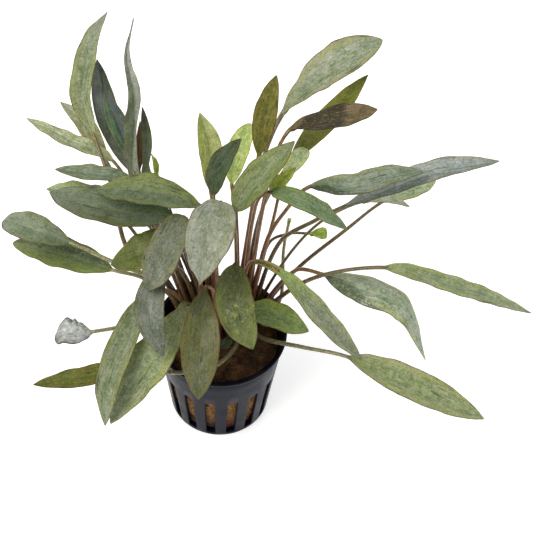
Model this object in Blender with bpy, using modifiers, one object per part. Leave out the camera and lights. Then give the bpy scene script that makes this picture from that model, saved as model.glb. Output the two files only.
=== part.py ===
"""Cryptocoryne petchii, pink form, standing in its slotted nursery pot.

Every leaf is one solid, a round stalk that widens into an arched blade. The pot, the stone wool plug, the
rootstock and each leaf are objects of their own. Lengths in this file are millimetres until scaled().
The origin is the middle of the pot's underside and +Z is up. The front of the plant faces -Y.
"""

from dataclasses import dataclass
from math import cos, pi, radians, sin

import bmesh
import bpy
from mathutils import Matrix, Vector, noise

MM = 0.001
GAP = 0.4

# Nursery pot
POT_HEIGHT = 50.0
POT_RIM_RADIUS = 27.5
POT_BASE_RADIUS = 21.1
POT_WALL = 1.2
POT_FLOOR = 1.5
POT_LIP_HEIGHT = 1.8
POT_LIP_REACH = 0.8
POT_SIDES = 48
SLOTS = 16
SLOT_TURN = 16.2
SLOT_WIDTH = 4.3
SLOT_REACH = (18.0, 30.0)
SLOT_BOTTOM = 2.0
SLOT_TOP = 30.2
DRAIN_SLOTS = 7
DRAIN_WIDTH = 3.0
DRAIN_REACH = (8.0, 17.0)

# Stone wool plug
PLUG_TOP = 44.0
PLUG_TOP_RADII = (8.0, 14.0, 19.0)
PLUG_SIDE_HEIGHTS = (PLUG_TOP - 1.5, 31.0, 8.0)
PLUG_FOOT_RADIUS = 14.0
PLUG_SIDES = 28
PLUG_LUMP = 1.2
PLUG_LUMP_SIZE = 6.0

# Rootstock and a cut stalk: points of the middle line, each with its radius
ROOT_LEVEL = PLUG_TOP + GAP
ROOTSTOCK = (
    ((-2.0, 5.0, ROOT_LEVEL), 1.9),
    ((-2.0, 5.0, 50.0), 2.2),
    ((-1.5, 6.0, 56.0), 1.8),
    ((-1.5, 7.0, 61.0), 1.0),
)
CUT_STALK = (
    ((18.5, 4.5, ROOT_LEVEL), 0.8),
    ((18.5, 4.5, 48.0), 0.8),
    ((24.0, 12.0, 58.0), 0.8),
    ((24.0, 25.5, 72.0), 0.8),
    ((25.5, 27.5, 90.0), 0.7),
)

# Leaves
STALK_RADIUS = 0.95
STALK_RINGS = (0.0, 0.2, 0.4, 0.6, 0.8)
BLADE_RINGS = (0.0, 0.07, 0.19, 0.34, 0.5, 0.66, 0.81, 0.93)
RIB_THICKNESS = 1.2
TIP_THICKNESS = 0.5
RIB_SHARE = 0.3
SEAT_STEP = 2.3

SECTION_CORNERS = 6

# Where each shoot stands on the plug
SHOOTS = {"right": (10.0, 13.0), "left": (-10.0, 11.0), "front": (1.0, -1.0)}

LEAF_COLOURS = {
    "sage": (0.24, 0.32, 0.20),
    "slate": (0.11, 0.14, 0.12),
    "green": (0.14, 0.25, 0.05),
    "bright": (0.24, 0.42, 0.05),
    "pale": (0.38, 0.45, 0.30),
    "olive": (0.18, 0.16, 0.05),
    "plum": (0.13, 0.08, 0.08),
}


@dataclass(frozen=True)
class Leaf:
    """One leaf. The stalk runs from the plug through its own points to the first point of the blade.

    fold is how far the blade's edges rise for each unit across. start and taper say how fast the blade
    widens from its neck and narrows to its tip.
    """

    name: str
    shoot: str
    stalk: tuple
    blade: tuple
    width: float
    fold: float = 0.25
    colour: str = "sage"
    start: float = 0.7
    taper: float = 0.85


LEAVES = (
    Leaf(
        "leaf_low_right",
        "right",
        stalk=((17, -4, 51), (33, -10, 55)),
        blade=((52, -17, 60), (77, -28, 60), (107, -36, 50)),
        width=17,
    ),
    Leaf(
        "leaf_arched_front_right",
        "right",
        stalk=((11, 3, 92),),
        blade=((22, -4, 97), (38, -14, 86), (57, -19, 62)),
        width=12,
    ),
    Leaf(
        "leaf_curled_right",
        "right",
        stalk=((29, 14, 74),),
        blade=((41, 9, 79), (57, 2, 82), (73, -4, 77), (84, -11, 52)),
        width=15,
        fold=-0.35,
        taper=1.1,
    ),
    Leaf(
        "leaf_long_right",
        "right",
        stalk=((35, 7, 78),),
        blade=((64, 6, 90), (91, 4, 84), (125, 4, 68)),
        width=10.5,
        start=0.5,
    ),
    Leaf(
        "leaf_pale_right",
        "right",
        stalk=((30, 21, 66), (49, 29, 84)),
        blade=((63, 38, 92), (73, 40, 96), (84, 47, 96)),
        width=8,
        colour="pale",
    ),
    Leaf(
        "leaf_slim_right",
        "right",
        stalk=((26, 20, 76), (38, 24, 94)),
        blade=((53, 27, 104), (64, 30, 103), (73, 32, 97)),
        width=5,
    ),
    Leaf(
        "leaf_grey_right",
        "right",
        stalk=((22, 20, 84), (36, 20, 100)),
        blade=((46, 20, 109), (63, 26, 115), (82, 33, 119), (106, 41, 117)),
        width=11,
    ),
    Leaf(
        "leaf_upper_right",
        "right",
        stalk=((17, 16, 90), (25, 15, 114)),
        blade=((32, 18, 122), (49, 16, 127), (62, 22, 127), (75, 27, 124)),
        width=12.5,
    ),
    Leaf(
        "leaf_central_right",
        "right",
        stalk=((12, 12, 116),),
        blade=((18, 6, 132), (31, 3, 130), (47, 5, 114)),
        width=11.5,
        start=0.5,
    ),
    Leaf(
        "leaf_bright_young",
        "right",
        stalk=((15, 13, 114),),
        blade=((17, 11, 126), (22, 12, 132), (26, 16, 135)),
        width=6,
        colour="bright",
    ),
    Leaf(
        "leaf_pale_young",
        "right",
        stalk=((19, 22, 96),),
        blade=((22, 25, 117), (26, 31, 120), (30, 39, 120)),
        width=7,
        taper=0.45,
        colour="pale",
    ),
    Leaf(
        "leaf_green_top_right",
        "right",
        stalk=((14, 27, 94),),
        blade=((25, 40, 112), (37, 49, 124), (53, 69, 132)),
        width=10,
        colour="green",
    ),
    Leaf(
        "leaf_purple_top_right",
        "right",
        stalk=((16, 25, 114),),
        blade=((23, 35, 134), (38, 36, 140), (56, 43, 140)),
        width=12,
        colour="plum",
    ),
    Leaf(
        "leaf_tall_right",
        "right",
        stalk=((12, 34, 106),),
        blade=((20, 54, 122), (32, 66, 130), (43, 71, 137), (58, 81, 140)),
        width=15,
        taper=0.7,
    ),
    Leaf(
        "leaf_olive_upright",
        "right",
        stalk=((11, 22, 110),),
        blade=((12, 28, 126), (14, 39, 138), (17, 52, 146)),
        width=9.5,
        colour="olive",
    ),
    Leaf(
        "leaf_centre_upright",
        "right",
        stalk=((5, 5, 106),),
        blade=((4, 6, 120), (14, 9, 137), (25, 18, 147)),
        width=14,
    ),
    Leaf(
        "leaf_bud",
        "right",
        stalk=((18, 26, 76), (26, 25, 84)),
        blade=((34, 24, 86), (37, 24, 86), (41, 24, 86)),
        width=6,
        taper=0.35,
        colour="bright",
    ),
    Leaf(
        "leaf_upright_yellow",
        "left",
        stalk=((-4, 21, 98),),
        blade=((-6, 25, 108), (-7, 36, 120), (-12, 49, 126)),
        width=9.5,
        colour="green",
    ),
    Leaf(
        "leaf_upright_dark",
        "left",
        stalk=((-3, 10, 112),),
        blade=((-4, 11, 122), (-2, 17, 132), (5, 24, 140)),
        width=9,
        colour="slate",
    ),
    Leaf(
        "leaf_upright_pale",
        "right",
        stalk=((4, 25, 98),),
        blade=((2, 29, 108), (4, 38, 118), (8, 47, 124)),
        width=9,
        taper=0.6,
        colour="pale",
    ),
    Leaf(
        "leaf_tall_left",
        "left",
        stalk=((-28, 15, 68), (-39, 16, 80), (-45, 29, 100)),
        blade=((-54, 47, 112), (-60, 60, 118), (-60, 71, 122), (-59, 88, 124), (-55, 107, 122)),
        width=10,
        fold=0.4,
        taper=1.0,
    ),
    Leaf(
        "leaf_slate_left",
        "left",
        stalk=((-30, 27, 83),),
        blade=((-39, 38, 102), (-50, 59, 112), (-57, 85, 116)),
        width=10.5,
        colour="slate",
    ),
    Leaf(
        "leaf_slim_left",
        "left",
        stalk=((-30, 26, 94),),
        blade=((-38, 38, 108), (-45, 51, 115), (-51, 62, 120)),
        width=8,
        colour="green",
    ),
    Leaf(
        "leaf_twisted_left",
        "left",
        stalk=((-28, 14, 104),),
        blade=((-36, 27, 114), (-37, 42, 122), (-38, 53, 130), (-42, 68, 136), (-41, 85, 140)),
        width=8,
        fold=0.5,
        taper=1.6,
    ),
    Leaf(
        "leaf_folded_brown",
        "left",
        stalk=((-29, 15, 100),),
        blade=((-35, 29, 108), (-35, 39, 113), (-36, 52, 116)),
        width=3,
        colour="olive",
    ),
    Leaf(
        "leaf_edge_on_left",
        "left",
        stalk=((-24, 15, 104),),
        blade=((-31, 27, 112), (-32, 40, 117), (-35, 54, 122)),
        width=4,
        colour="slate",
    ),
    Leaf(
        "leaf_sliver_left",
        "left",
        stalk=((-21, 20, 99),),
        blade=((-28, 35, 103), (-29, 40, 105), (-31, 44, 106)),
        width=4,
        colour="bright",
    ),
    Leaf(
        "leaf_flat_left",
        "left",
        stalk=((-35, 32, 86),),
        blade=((-47, 46, 98), (-65, 51, 104), (-84, 63, 102)),
        width=8.5,
    ),
    Leaf(
        "leaf_back_left",
        "left",
        stalk=((-23, 28, 64), (-37, 36, 79)),
        blade=((-50, 51, 90), (-62, 67, 97), (-72, 75, 100)),
        width=8,
    ),
    Leaf(
        "leaf_middle_left",
        "left",
        stalk=((-27, 24, 98),),
        blade=((-37, 30, 106), (-53, 30, 108), (-68, 33, 106)),
        width=8,
    ),
    Leaf(
        "leaf_broad_centre_left",
        "left",
        stalk=((-8, 9, 110),),
        blade=((-9, 9, 118), (-29, 11, 122), (-50, 17, 114)),
        width=15.5,
    ),
    Leaf(
        "leaf_wide_left",
        "left",
        stalk=((-14, 12, 98),),
        blade=((-20, 13, 106), (-38, 10, 110), (-56, 15, 108), (-69, 23, 104)),
        width=19,
    ),
    Leaf(
        "leaf_shadow_left",
        "left",
        stalk=((-33, 20, 78),),
        blade=((-49, 28, 95), (-61, 29, 98), (-72, 31, 96)),
        width=9,
        colour="pale",
    ),
    Leaf(
        "leaf_far_left",
        "left",
        stalk=((-21, 15, 66), (-32, 9, 73)),
        blade=((-61, 13, 85), (-74, 15, 89), (-89, 24, 84)),
        width=15,
        taper=0.45,
    ),
    Leaf(
        "leaf_sagging_left",
        "left",
        stalk=((-22, 11, 57), (-33, 12, 66)),
        blade=((-45, 12, 70), (-65, 18, 70), (-88, 26, 66)),
        width=17,
        taper=0.7,
        colour="green",
    ),
    Leaf(
        "leaf_green_left",
        "left",
        stalk=((-13, 5, 88),),
        blade=((-18, 8, 99), (-28, -1, 101), (-43, -1, 91)),
        width=16,
        colour="green",
    ),
    Leaf(
        "leaf_drooping_left",
        "left",
        stalk=((-10, -1, 108),),
        blade=((-15, 4, 117), (-21, -10, 113), (-27, -16, 96)),
        width=16,
    ),
    Leaf(
        "leaf_hanging_left",
        "left",
        stalk=((-16, 3, 84),),
        blade=((-23, -5, 94), (-26, -22, 91), (-20, -35, 80)),
        width=11.5,
    ),
    Leaf(
        "leaf_light_centre",
        "front",
        stalk=((-3, 5, 112),),
        blade=((-1, 8, 122), (-4, -4, 123), (-6, -13, 118), (-7, -18, 104)),
        width=20.5,
        taper=1.3,
        colour="pale",
    ),
    Leaf(
        "leaf_front_centre",
        "front",
        stalk=((-3, -4, 82),),
        blade=((-6, -6, 86), (-6, -29, 82), (-6, -42, 62)),
        width=15,
    ),
    Leaf(
        "leaf_front_spotted",
        "front",
        stalk=((5, 5, 80),),
        blade=((5, 4, 89), (6, -15, 88), (14, -24, 72)),
        width=15,
        colour="green",
    ),
    Leaf(
        "leaf_front_right",
        "front",
        stalk=((4, 0, 56),),
        blade=((8, 1, 62), (20, -3, 64), (36, -5, 59)),
        width=14,
    ),
    Leaf(
        "leaf_big_front_left",
        "front",
        stalk=((-8, -3, 66), (-13, -5, 72)),
        blade=((-16, -12, 74), (-25, -31, 70), (-40, -48, 50)),
        width=18,
        taper=0.9,
    ),
    Leaf(
        "leaf_folded_front_left",
        "left",
        stalk=((-20, 0, 74),),
        blade=((-28, -6, 80), (-37, -28, 76), (-41, -42, 68), (-42, -49, 50)),
        width=12.5,
    ),
    Leaf(
        "leaf_olive_front_left",
        "front",
        stalk=((7, -5, 49), (5, -13, 52), (-2, -21, 53), (-14, -25, 54)),
        blade=((-35, -26, 55), (-53, -31, 56), (-72, -34, 53)),
        width=11,
        colour="green",
    ),
    Leaf(
        "leaf_white_left",
        "left",
        stalk=((-17, 0, 56), (-28, -7, 62)),
        blade=((-50, -16, 66), (-57, -18, 67), (-64, -17, 66)),
        width=12.5,
        start=0.5,
        taper=0.5,
        colour="pale",
    ),
    Leaf(
        "leaf_small_dark",
        "front",
        stalk=((4, -3, 50),),
        blade=((3, -6, 52), (3, -8, 52), (1, -10, 50)),
        width=4.5,
        colour="slate",
    ),
    Leaf(
        "leaf_small_pale",
        "front",
        stalk=((-9, -4, 49), (-15, -9, 50)),
        blade=((-17, -12, 52), (-18, -11, 55), (-18, -10, 57)),
        width=4.5,
        colour="bright",
    ),
)


def material(name, colour, roughness):
    made = bpy.data.materials.new(name)
    made.use_nodes = True
    shader = made.node_tree.nodes["Principled BSDF"]
    shader.inputs["Base Color"].default_value = (*colour, 1.0)
    shader.inputs["Roughness"].default_value = roughness
    shader.inputs["Metallic"].default_value = 0.0
    return made


def collection(name):
    made = bpy.data.collections.new(name)
    bpy.context.scene.collection.children.link(made)
    return made


def scaled(*point):
    """A point in millimetres as Blender's metres."""
    return Vector(point) * MM


def add_mesh(name, shape, group, look=None):
    """Makes a bmesh an object of its own in the collection."""
    mesh = bpy.data.meshes.new(name)
    shape.to_mesh(mesh)
    shape.free()
    made = bpy.data.objects.new(name, mesh)
    group.objects.link(made)
    if look:
        mesh.materials.append(look)
        mesh.shade_smooth()
        mesh.set_sharp_from_angle(angle=radians(35))
    return made


def add_turned(name, profile, sides, group, look):
    """Turns a profile, (radius, height) points that run down the outer side, into a solid of revolution."""
    shape = bmesh.new()
    corners = [shape.verts.new(scaled(radius, 0.0, height)) for radius, height in profile]
    for first, second in zip(corners, corners[1:]):
        shape.edges.new((first, second))
    made = add_mesh(name, shape, group)
    screw = made.modifiers.new("turn", "SCREW")
    screw.steps = screw.render_steps = sides
    screw.use_merge_vertices = True
    screw.merge_threshold = 0.00001
    made.data.materials.append(look)
    return made


def outer_radius(height):
    """The pot's outer radius under its lip."""
    top = POT_RIM_RADIUS - POT_LIP_REACH
    return POT_BASE_RADIUS + (top - POT_BASE_RADIUS) * height / POT_HEIGHT


def add_pot(parts, cutters, look):
    lip_bottom = POT_HEIGHT - POT_LIP_HEIGHT
    profile = (
        (0.0, POT_FLOOR),
        (outer_radius(POT_FLOOR) - POT_WALL, POT_FLOOR),
        (outer_radius(POT_HEIGHT) - POT_WALL, POT_HEIGHT),
        (POT_RIM_RADIUS, POT_HEIGHT),
        (POT_RIM_RADIUS, lip_bottom),
        (outer_radius(lip_bottom), lip_bottom),
        (POT_BASE_RADIUS, 0.0),
        (0.0, 0.0),
    )
    pot = add_turned("pot", profile, POT_SIDES, parts, look)
    slots = bmesh.new()
    for number in range(SLOTS):
        angle = radians(SLOT_TURN) + 2 * pi * number / SLOTS
        add_slot(slots, angle, SLOT_WIDTH, SLOT_REACH, (SLOT_BOTTOM, SLOT_TOP))
    for number in range(DRAIN_SLOTS):
        angle = 2 * pi * number / DRAIN_SLOTS
        add_slot(slots, angle, DRAIN_WIDTH, DRAIN_REACH, (-POT_FLOOR, 2 * POT_FLOOR))
    cutter = add_mesh("slot_cutter", slots, cutters)
    cutter.hide_render = True
    cutter.display_type = "WIRE"
    cut = pot.modifiers.new("slots", "BOOLEAN")
    cut.operation = "DIFFERENCE"
    cut.solver = "EXACT"
    cut.object = cutter


def add_slot(shape, angle, width, reach, heights):
    """Adds a box that cuts one slot, from the inner to the outer reach along a radius at this angle from -Y."""
    inner, outer = reach
    low, high = heights
    size = Matrix.Diagonal((width * MM, (outer - inner) * MM, (high - low) * MM, 1.0))
    place = Matrix.Translation(scaled(0.0, -(inner + outer) / 2, (low + high) / 2))
    bmesh.ops.create_cube(shape, size=1.0, matrix=Matrix.Rotation(angle, 4, "Z") @ place @ size)


def add_plug(parts, look):
    """The stone wool plug fills the pot's inside and is uneven on its top."""
    profile = [(radius, PLUG_TOP) for radius in PLUG_TOP_RADII]
    profile += [(outer_radius(height) - POT_WALL - GAP, height) for height in PLUG_SIDE_HEIGHTS]
    profile += [(PLUG_FOOT_RADIUS, POT_FLOOR + GAP)]
    shape = bmesh.new()
    rings = []
    for radius, height in profile:
        ring = []
        for number in range(PLUG_SIDES):
            angle = 2 * pi * number / PLUG_SIDES
            place = Vector((radius * cos(angle), radius * sin(angle), height))
            if radius >= PLUG_TOP_RADII[-1] and height >= PLUG_SIDE_HEIGHTS[1]:
                lump = abs(noise.noise(place / PLUG_LUMP_SIZE)) * PLUG_LUMP
                place -= Vector((cos(angle), sin(angle), 0.6)) * lump
            ring.append(shape.verts.new(place * MM))
        rings.append(ring)
    join_rings(shape, rings)
    shape.faces.new(rings[0])
    shape.faces.new(reversed(rings[-1]))
    bmesh.ops.recalc_face_normals(shape, faces=shape.faces)
    add_mesh("growing_medium", shape, parts, look)


def join_rings(shape, rings):
    """Closes the band between each two neighbouring rings of equally many points."""
    for lower, upper in zip(rings, rings[1:]):
        count = len(lower)
        for number in range(count):
            after = (number + 1) % count
            shape.faces.new((lower[number], lower[after], upper[after], upper[number]))


def smooth_path(points, spans):
    """Points on a smooth curve through the given ones: spans is a list of (span number, share of that span)."""
    knots = [Vector(point) for point in points]
    slopes = []
    for number, knot in enumerate(knots):
        before = knots[max(number - 1, 0)]
        after = knots[min(number + 1, len(knots) - 1)]
        reach = (knot - before).length + (after - knot).length
        slopes.append((after - before) / reach)
    places = []
    for span, share in spans:
        start, end = knots[span], knots[span + 1]
        length = (end - start).length
        square, cube = share**2, share**3
        places.append(
            (2 * cube - 3 * square + 1) * start
            + (cube - 2 * square + share) * length * slopes[span]
            + (3 * square - 2 * cube) * end
            + (cube - square) * length * slopes[span + 1]
        )
    return places


def along(points, first, last, shares):
    """Turns shares of the curve from knot first to knot last into (span, share) pairs, by straight distance."""
    lengths = [(Vector(points[n + 1]) - Vector(points[n])).length for n in range(first, last)]
    spans = []
    for share in shares:
        rest = share * sum(lengths)
        span = 0
        while span < len(lengths) - 1 and rest > lengths[span]:
            rest -= lengths[span]
            span += 1
        spans.append((first + span, min(rest / lengths[span], 1.0)))
    return spans


def seat_pattern(count):
    """This many places in a triangular pattern, the ones nearest to its middle."""
    reach = range(-4, 5)
    places = []
    for row in reach:
        for column in reach:
            across = (column + 0.5 * (row % 2)) * SEAT_STEP
            places.append(Vector((across, row * SEAT_STEP * sin(pi / 3), 0.0)))
    return sorted(places, key=lambda place: place.length)[:count]


def seats():
    """Where each leaf's stalk stands: those that lean the most stand furthest out, each on its own side."""
    found = {}
    for shoot, (x, y) in SHOOTS.items():
        centre = Vector((x, y, ROOT_LEVEL))
        leaves = [leaf for leaf in LEAVES if leaf.shoot == shoot]
        leans = []
        for leaf in leaves:
            way = Vector(leaf.stalk[0]) - centre
            leans.append(Vector((way.x, way.y, 0.0)) / way.length)
        places = seat_pattern(len(leaves))
        swapped = True
        while swapped:
            swapped = False
            for one in range(len(leaves)):
                for other in range(one):
                    gain = (leans[one] - leans[other]).dot(places[other] - places[one])
                    if gain > 0.0001:
                        places[one], places[other] = places[other], places[one]
                        swapped = True
        for leaf, place in zip(leaves, places):
            found[leaf.name] = tuple(centre + place)
    return found


def blade_shape(leaf, share):
    """Half the blade's width at this share of its length, as a share of the widest."""
    widest = leaf.start / (leaf.start + leaf.taper)
    full = widest**leaf.start * (1 - widest) ** leaf.taper
    return share**leaf.start * (1 - share) ** leaf.taper / full


def section(leaf, share):
    """The six corners of the leaf's section, (across, up): share is negative on the stalk."""
    if share <= 0.0:
        angles = [2 * pi * number / SECTION_CORNERS for number in range(SECTION_CORNERS)]
        return [(STALK_RADIUS * cos(angle), STALK_RADIUS * sin(angle)) for angle in angles]
    half = max(leaf.width / 2 * blade_shape(leaf, share), STALK_RADIUS)
    thick = (RIB_THICKNESS + (TIP_THICKNESS - RIB_THICKNESS) * share) / 2
    lift = leaf.fold * half
    inner = RIB_SHARE * half
    trough = RIB_SHARE / 2 * lift
    return [
        (half, lift),
        (inner, trough + thick),
        (-inner, trough + thick),
        (-half, lift),
        (-inner, trough - thick),
        (inner, trough - thick),
    ]


def add_leaf(leaf, root, parts, looks):
    """Lofts the stalk's round section into the blade's flat one, along the leaf's midrib."""
    points = [root, *leaf.stalk, *leaf.blade]
    neck = len(leaf.stalk) + 1
    spans = along(points, 0, neck, STALK_RINGS) + along(points, neck, len(points) - 1, BLADE_RINGS)
    centres = smooth_path(points, spans)
    tip = Vector(points[-1])
    shares = [-1.0] * len(STALK_RINGS) + list(BLADE_RINGS)
    way = tip - Vector(leaf.blade[0])
    flat_side = Vector((way.y, -way.x, 0.0)).normalized()
    shape = bmesh.new()
    rings = []
    for number, centre in enumerate(centres):
        after = centres[number + 1] if number + 1 < len(centres) else tip
        before = centres[number - 1] if number else centre
        tangent = (after - before).normalized() if number else Vector((0.0, 0.0, 1.0))
        side = (flat_side - flat_side.dot(tangent) * tangent).normalized()
        up = side.cross(tangent)
        corners = section(leaf, shares[number])
        rings.append([shape.verts.new((centre + side * x + up * z) * MM) for x, z in corners])
    join_rings(shape, rings)
    shape.faces.new(rings[0])
    end = shape.verts.new(tip * MM)
    last = rings[-1]
    for number in range(SECTION_CORNERS):
        shape.faces.new((last[number], last[(number + 1) % SECTION_CORNERS], end))
    bmesh.ops.recalc_face_normals(shape, faces=shape.faces)
    add_mesh(leaf.name, shape, parts, looks[leaf.colour])


def add_stem(name, points, parts, look):
    """A round stem of changing thickness: points are (middle, radius) pairs from its foot to its end."""
    curve = bpy.data.curves.new(name, "CURVE")
    curve.dimensions = "3D"
    curve.bevel_depth = MM
    curve.bevel_resolution = 2
    curve.use_fill_caps = True
    curve.resolution_u = 4
    line = curve.splines.new("BEZIER")
    line.bezier_points.add(len(points) - 1)
    for spot, (middle, radius) in zip(line.bezier_points, points):
        spot.co = scaled(*middle)
        spot.radius = radius
        spot.handle_left_type = spot.handle_right_type = "AUTO"
    made = bpy.data.objects.new(name, curve)
    parts.objects.link(made)
    curve.materials.append(look)


def main():
    for old in list(bpy.data.objects):
        bpy.data.objects.remove(old)
    parts = collection("cryptocoryne_petchii")
    cutters = collection("cutters")
    looks = {name: material("leaf_" + name, colour, 0.45) for name, colour in LEAF_COLOURS.items()}
    add_pot(parts, cutters, material("pot_plastic", (0.07, 0.07, 0.09), 0.4))
    add_plug(parts, material("stone_wool", (0.12, 0.06, 0.03), 0.95))
    add_stem("rootstock", ROOTSTOCK, parts, material("rootstock_bark", (0.10, 0.045, 0.03), 0.8))
    add_stem("cut_stalk", CUT_STALK, parts, material("stalk_olive", (0.22, 0.20, 0.08), 0.5))
    roots = seats()
    for leaf in LEAVES:
        add_leaf(leaf, roots[leaf.name], parts, looks)


main()
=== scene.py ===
"""Pink cryptocoryne petchii in a slotted nursery pot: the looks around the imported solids.

Lengths are millimetres until a mesh is written, and Blender's metres after that. The origin is the middle of
the pot's underside, +Z is up and the front of the plant faces -Y, as in the solids.
"""

import logging
from dataclasses import dataclass, field
from enum import Enum
from math import atan2, cos, exp, pi, radians, sin, tau
from typing import Callable, Iterable

import bmesh
import bpy
import numpy as np
from mathutils import Matrix, Vector, noise

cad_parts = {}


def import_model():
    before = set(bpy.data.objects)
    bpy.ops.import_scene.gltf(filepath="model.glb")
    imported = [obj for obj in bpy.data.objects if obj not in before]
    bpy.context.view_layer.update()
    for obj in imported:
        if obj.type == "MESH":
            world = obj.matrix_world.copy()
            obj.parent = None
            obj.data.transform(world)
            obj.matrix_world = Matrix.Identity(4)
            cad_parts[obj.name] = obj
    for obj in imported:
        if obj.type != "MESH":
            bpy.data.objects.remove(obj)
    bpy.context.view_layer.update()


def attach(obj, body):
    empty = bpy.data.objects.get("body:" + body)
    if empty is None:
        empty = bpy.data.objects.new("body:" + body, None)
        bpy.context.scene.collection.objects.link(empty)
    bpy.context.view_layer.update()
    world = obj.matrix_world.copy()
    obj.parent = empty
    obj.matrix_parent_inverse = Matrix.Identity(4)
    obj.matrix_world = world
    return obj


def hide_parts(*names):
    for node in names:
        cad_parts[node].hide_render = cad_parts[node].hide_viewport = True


log = logging.getLogger("petchii")

MM = 0.001
POT_HEIGHT = 50.0
PLUG_TOP = 44.0
# Stalks start at the root level in the solids, and a little deeper, at the foot level, where they are drawn.
ROOT_LEVEL = PLUG_TOP + 0.4
FOOT_LEVEL = PLUG_TOP - 2.0
SEAT_STEP = 2.3

Point = tuple[float, float, float]
Colour = tuple[float, float, float, float]
Layer = tuple[object, ...]
Piece = bpy.types.Object
Finish = bpy.types.Material
Tree = bpy.types.NodeTree
Socket = bpy.types.NodeSocket


class Shoot(Enum):
    """The three shoots of the plant, with the place of each on the medium."""

    RIGHT = (10.0, 13.0)
    LEFT = (-10.0, 11.0)
    FRONT = (1.0, -1.0)


def linear(colour: str) -> Colour:
    """Turns an sRGB hex colour into linear values.

    Args:
        colour: The colour as "#rrggbb".

    Returns:
        Red, green, blue and an alpha of one, linear.
    """
    parts = [int(colour[n : n + 2], 16) / 255 for n in (1, 3, 5)]
    straight = [c / 12.92 if c <= 0.04045 else ((c + 0.055) / 1.055) ** 2.4 for c in parts]
    return (straight[0], straight[1], straight[2], 1.0)


def scaled(colour: Colour, red: float, green: float, blue: float) -> Colour:
    """A linear colour with its red, green and blue multiplied by these shares."""
    return (colour[0] * red, colour[1] * green, colour[2] * blue, 1.0)


def add_node(
    tree: Tree, kind: str, inputs: dict[int | str, object], output: int | str = 0, **settings: object
) -> Socket:
    """Adds one shader node with its settings, values and links.

    Args:
        tree: The node tree that gets the node.
        kind: The node's type, without its ShaderNode prefix.
        inputs: Socket names or numbers, each with a value or with the socket that feeds it.
        output: The name or number of the output that is wanted.
        settings: The node's own settings.

    Returns:
        The wanted output.
    """
    node = tree.nodes.new("ShaderNode" + kind)
    for name, value in settings.items():
        setattr(node, name, value)
    for name, value in inputs.items():
        if isinstance(value, Socket):
            tree.links.new(value, node.inputs[name])
        else:
            node.inputs[name].default_value = value
    return node.outputs[output]


def new_material(name: str, **values: object) -> tuple[Finish, Tree, bpy.types.Node]:
    """Makes a material that has only a Principled shader on its output.

    Args:
        name: The material's name.
        values: Constant values of the shader, with spaces in their names written as underscores.

    Returns:
        The material, its node tree and the shader node.
    """
    material = bpy.data.materials.new(name)
    material.use_nodes = True
    shader = material.node_tree.nodes["Principled BSDF"]
    for key, value in values.items():
        shader.inputs[key.replace("_", " ")].default_value = value
    return material, material.node_tree, shader


def painted(tree: Tree, ground: object, layers: Iterable[Layer]) -> Socket:
    """Lays colours over one another, each only where all of its steps let it through.

    Args:
        tree: The node tree.
        ground: The lowest colour, a value or a socket.
        layers: Colour, strength, and steps. A step is a socket, the level where the colour starts to show,
            and the level where it shows in full.

    Returns:
        The finished colour.
    """
    colour = ground
    for tone, strength, *steps in layers:
        share = strength
        for value, low, high in steps:
            step = add_node(tree, "MapRange", {0: value, 1: low, 2: high})
            share = add_node(tree, "Math", {0: share, 1: step}, operation="MULTIPLY")
        colour = add_node(tree, "Mix", {0: share, 6: colour, 7: tone}, 2, data_type="RGBA")
    return colour


def raised(tree: Tree, depth: float, *heights: tuple[Socket, float]) -> Socket:
    """Adds reliefs up and turns them into a surface normal.

    Args:
        tree: The node tree.
        depth: The full depth in millimetres.
        heights: Each relief's socket and its share.

    Returns:
        The normal.
    """
    total = 0.0
    for height, share in heights:
        total = add_node(tree, "Math", {0: height, 1: share, 2: total}, operation="MULTIPLY_ADD")
    return add_node(tree, "Bump", {"Height": total, "Strength": 0.9, "Distance": depth * MM})


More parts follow.
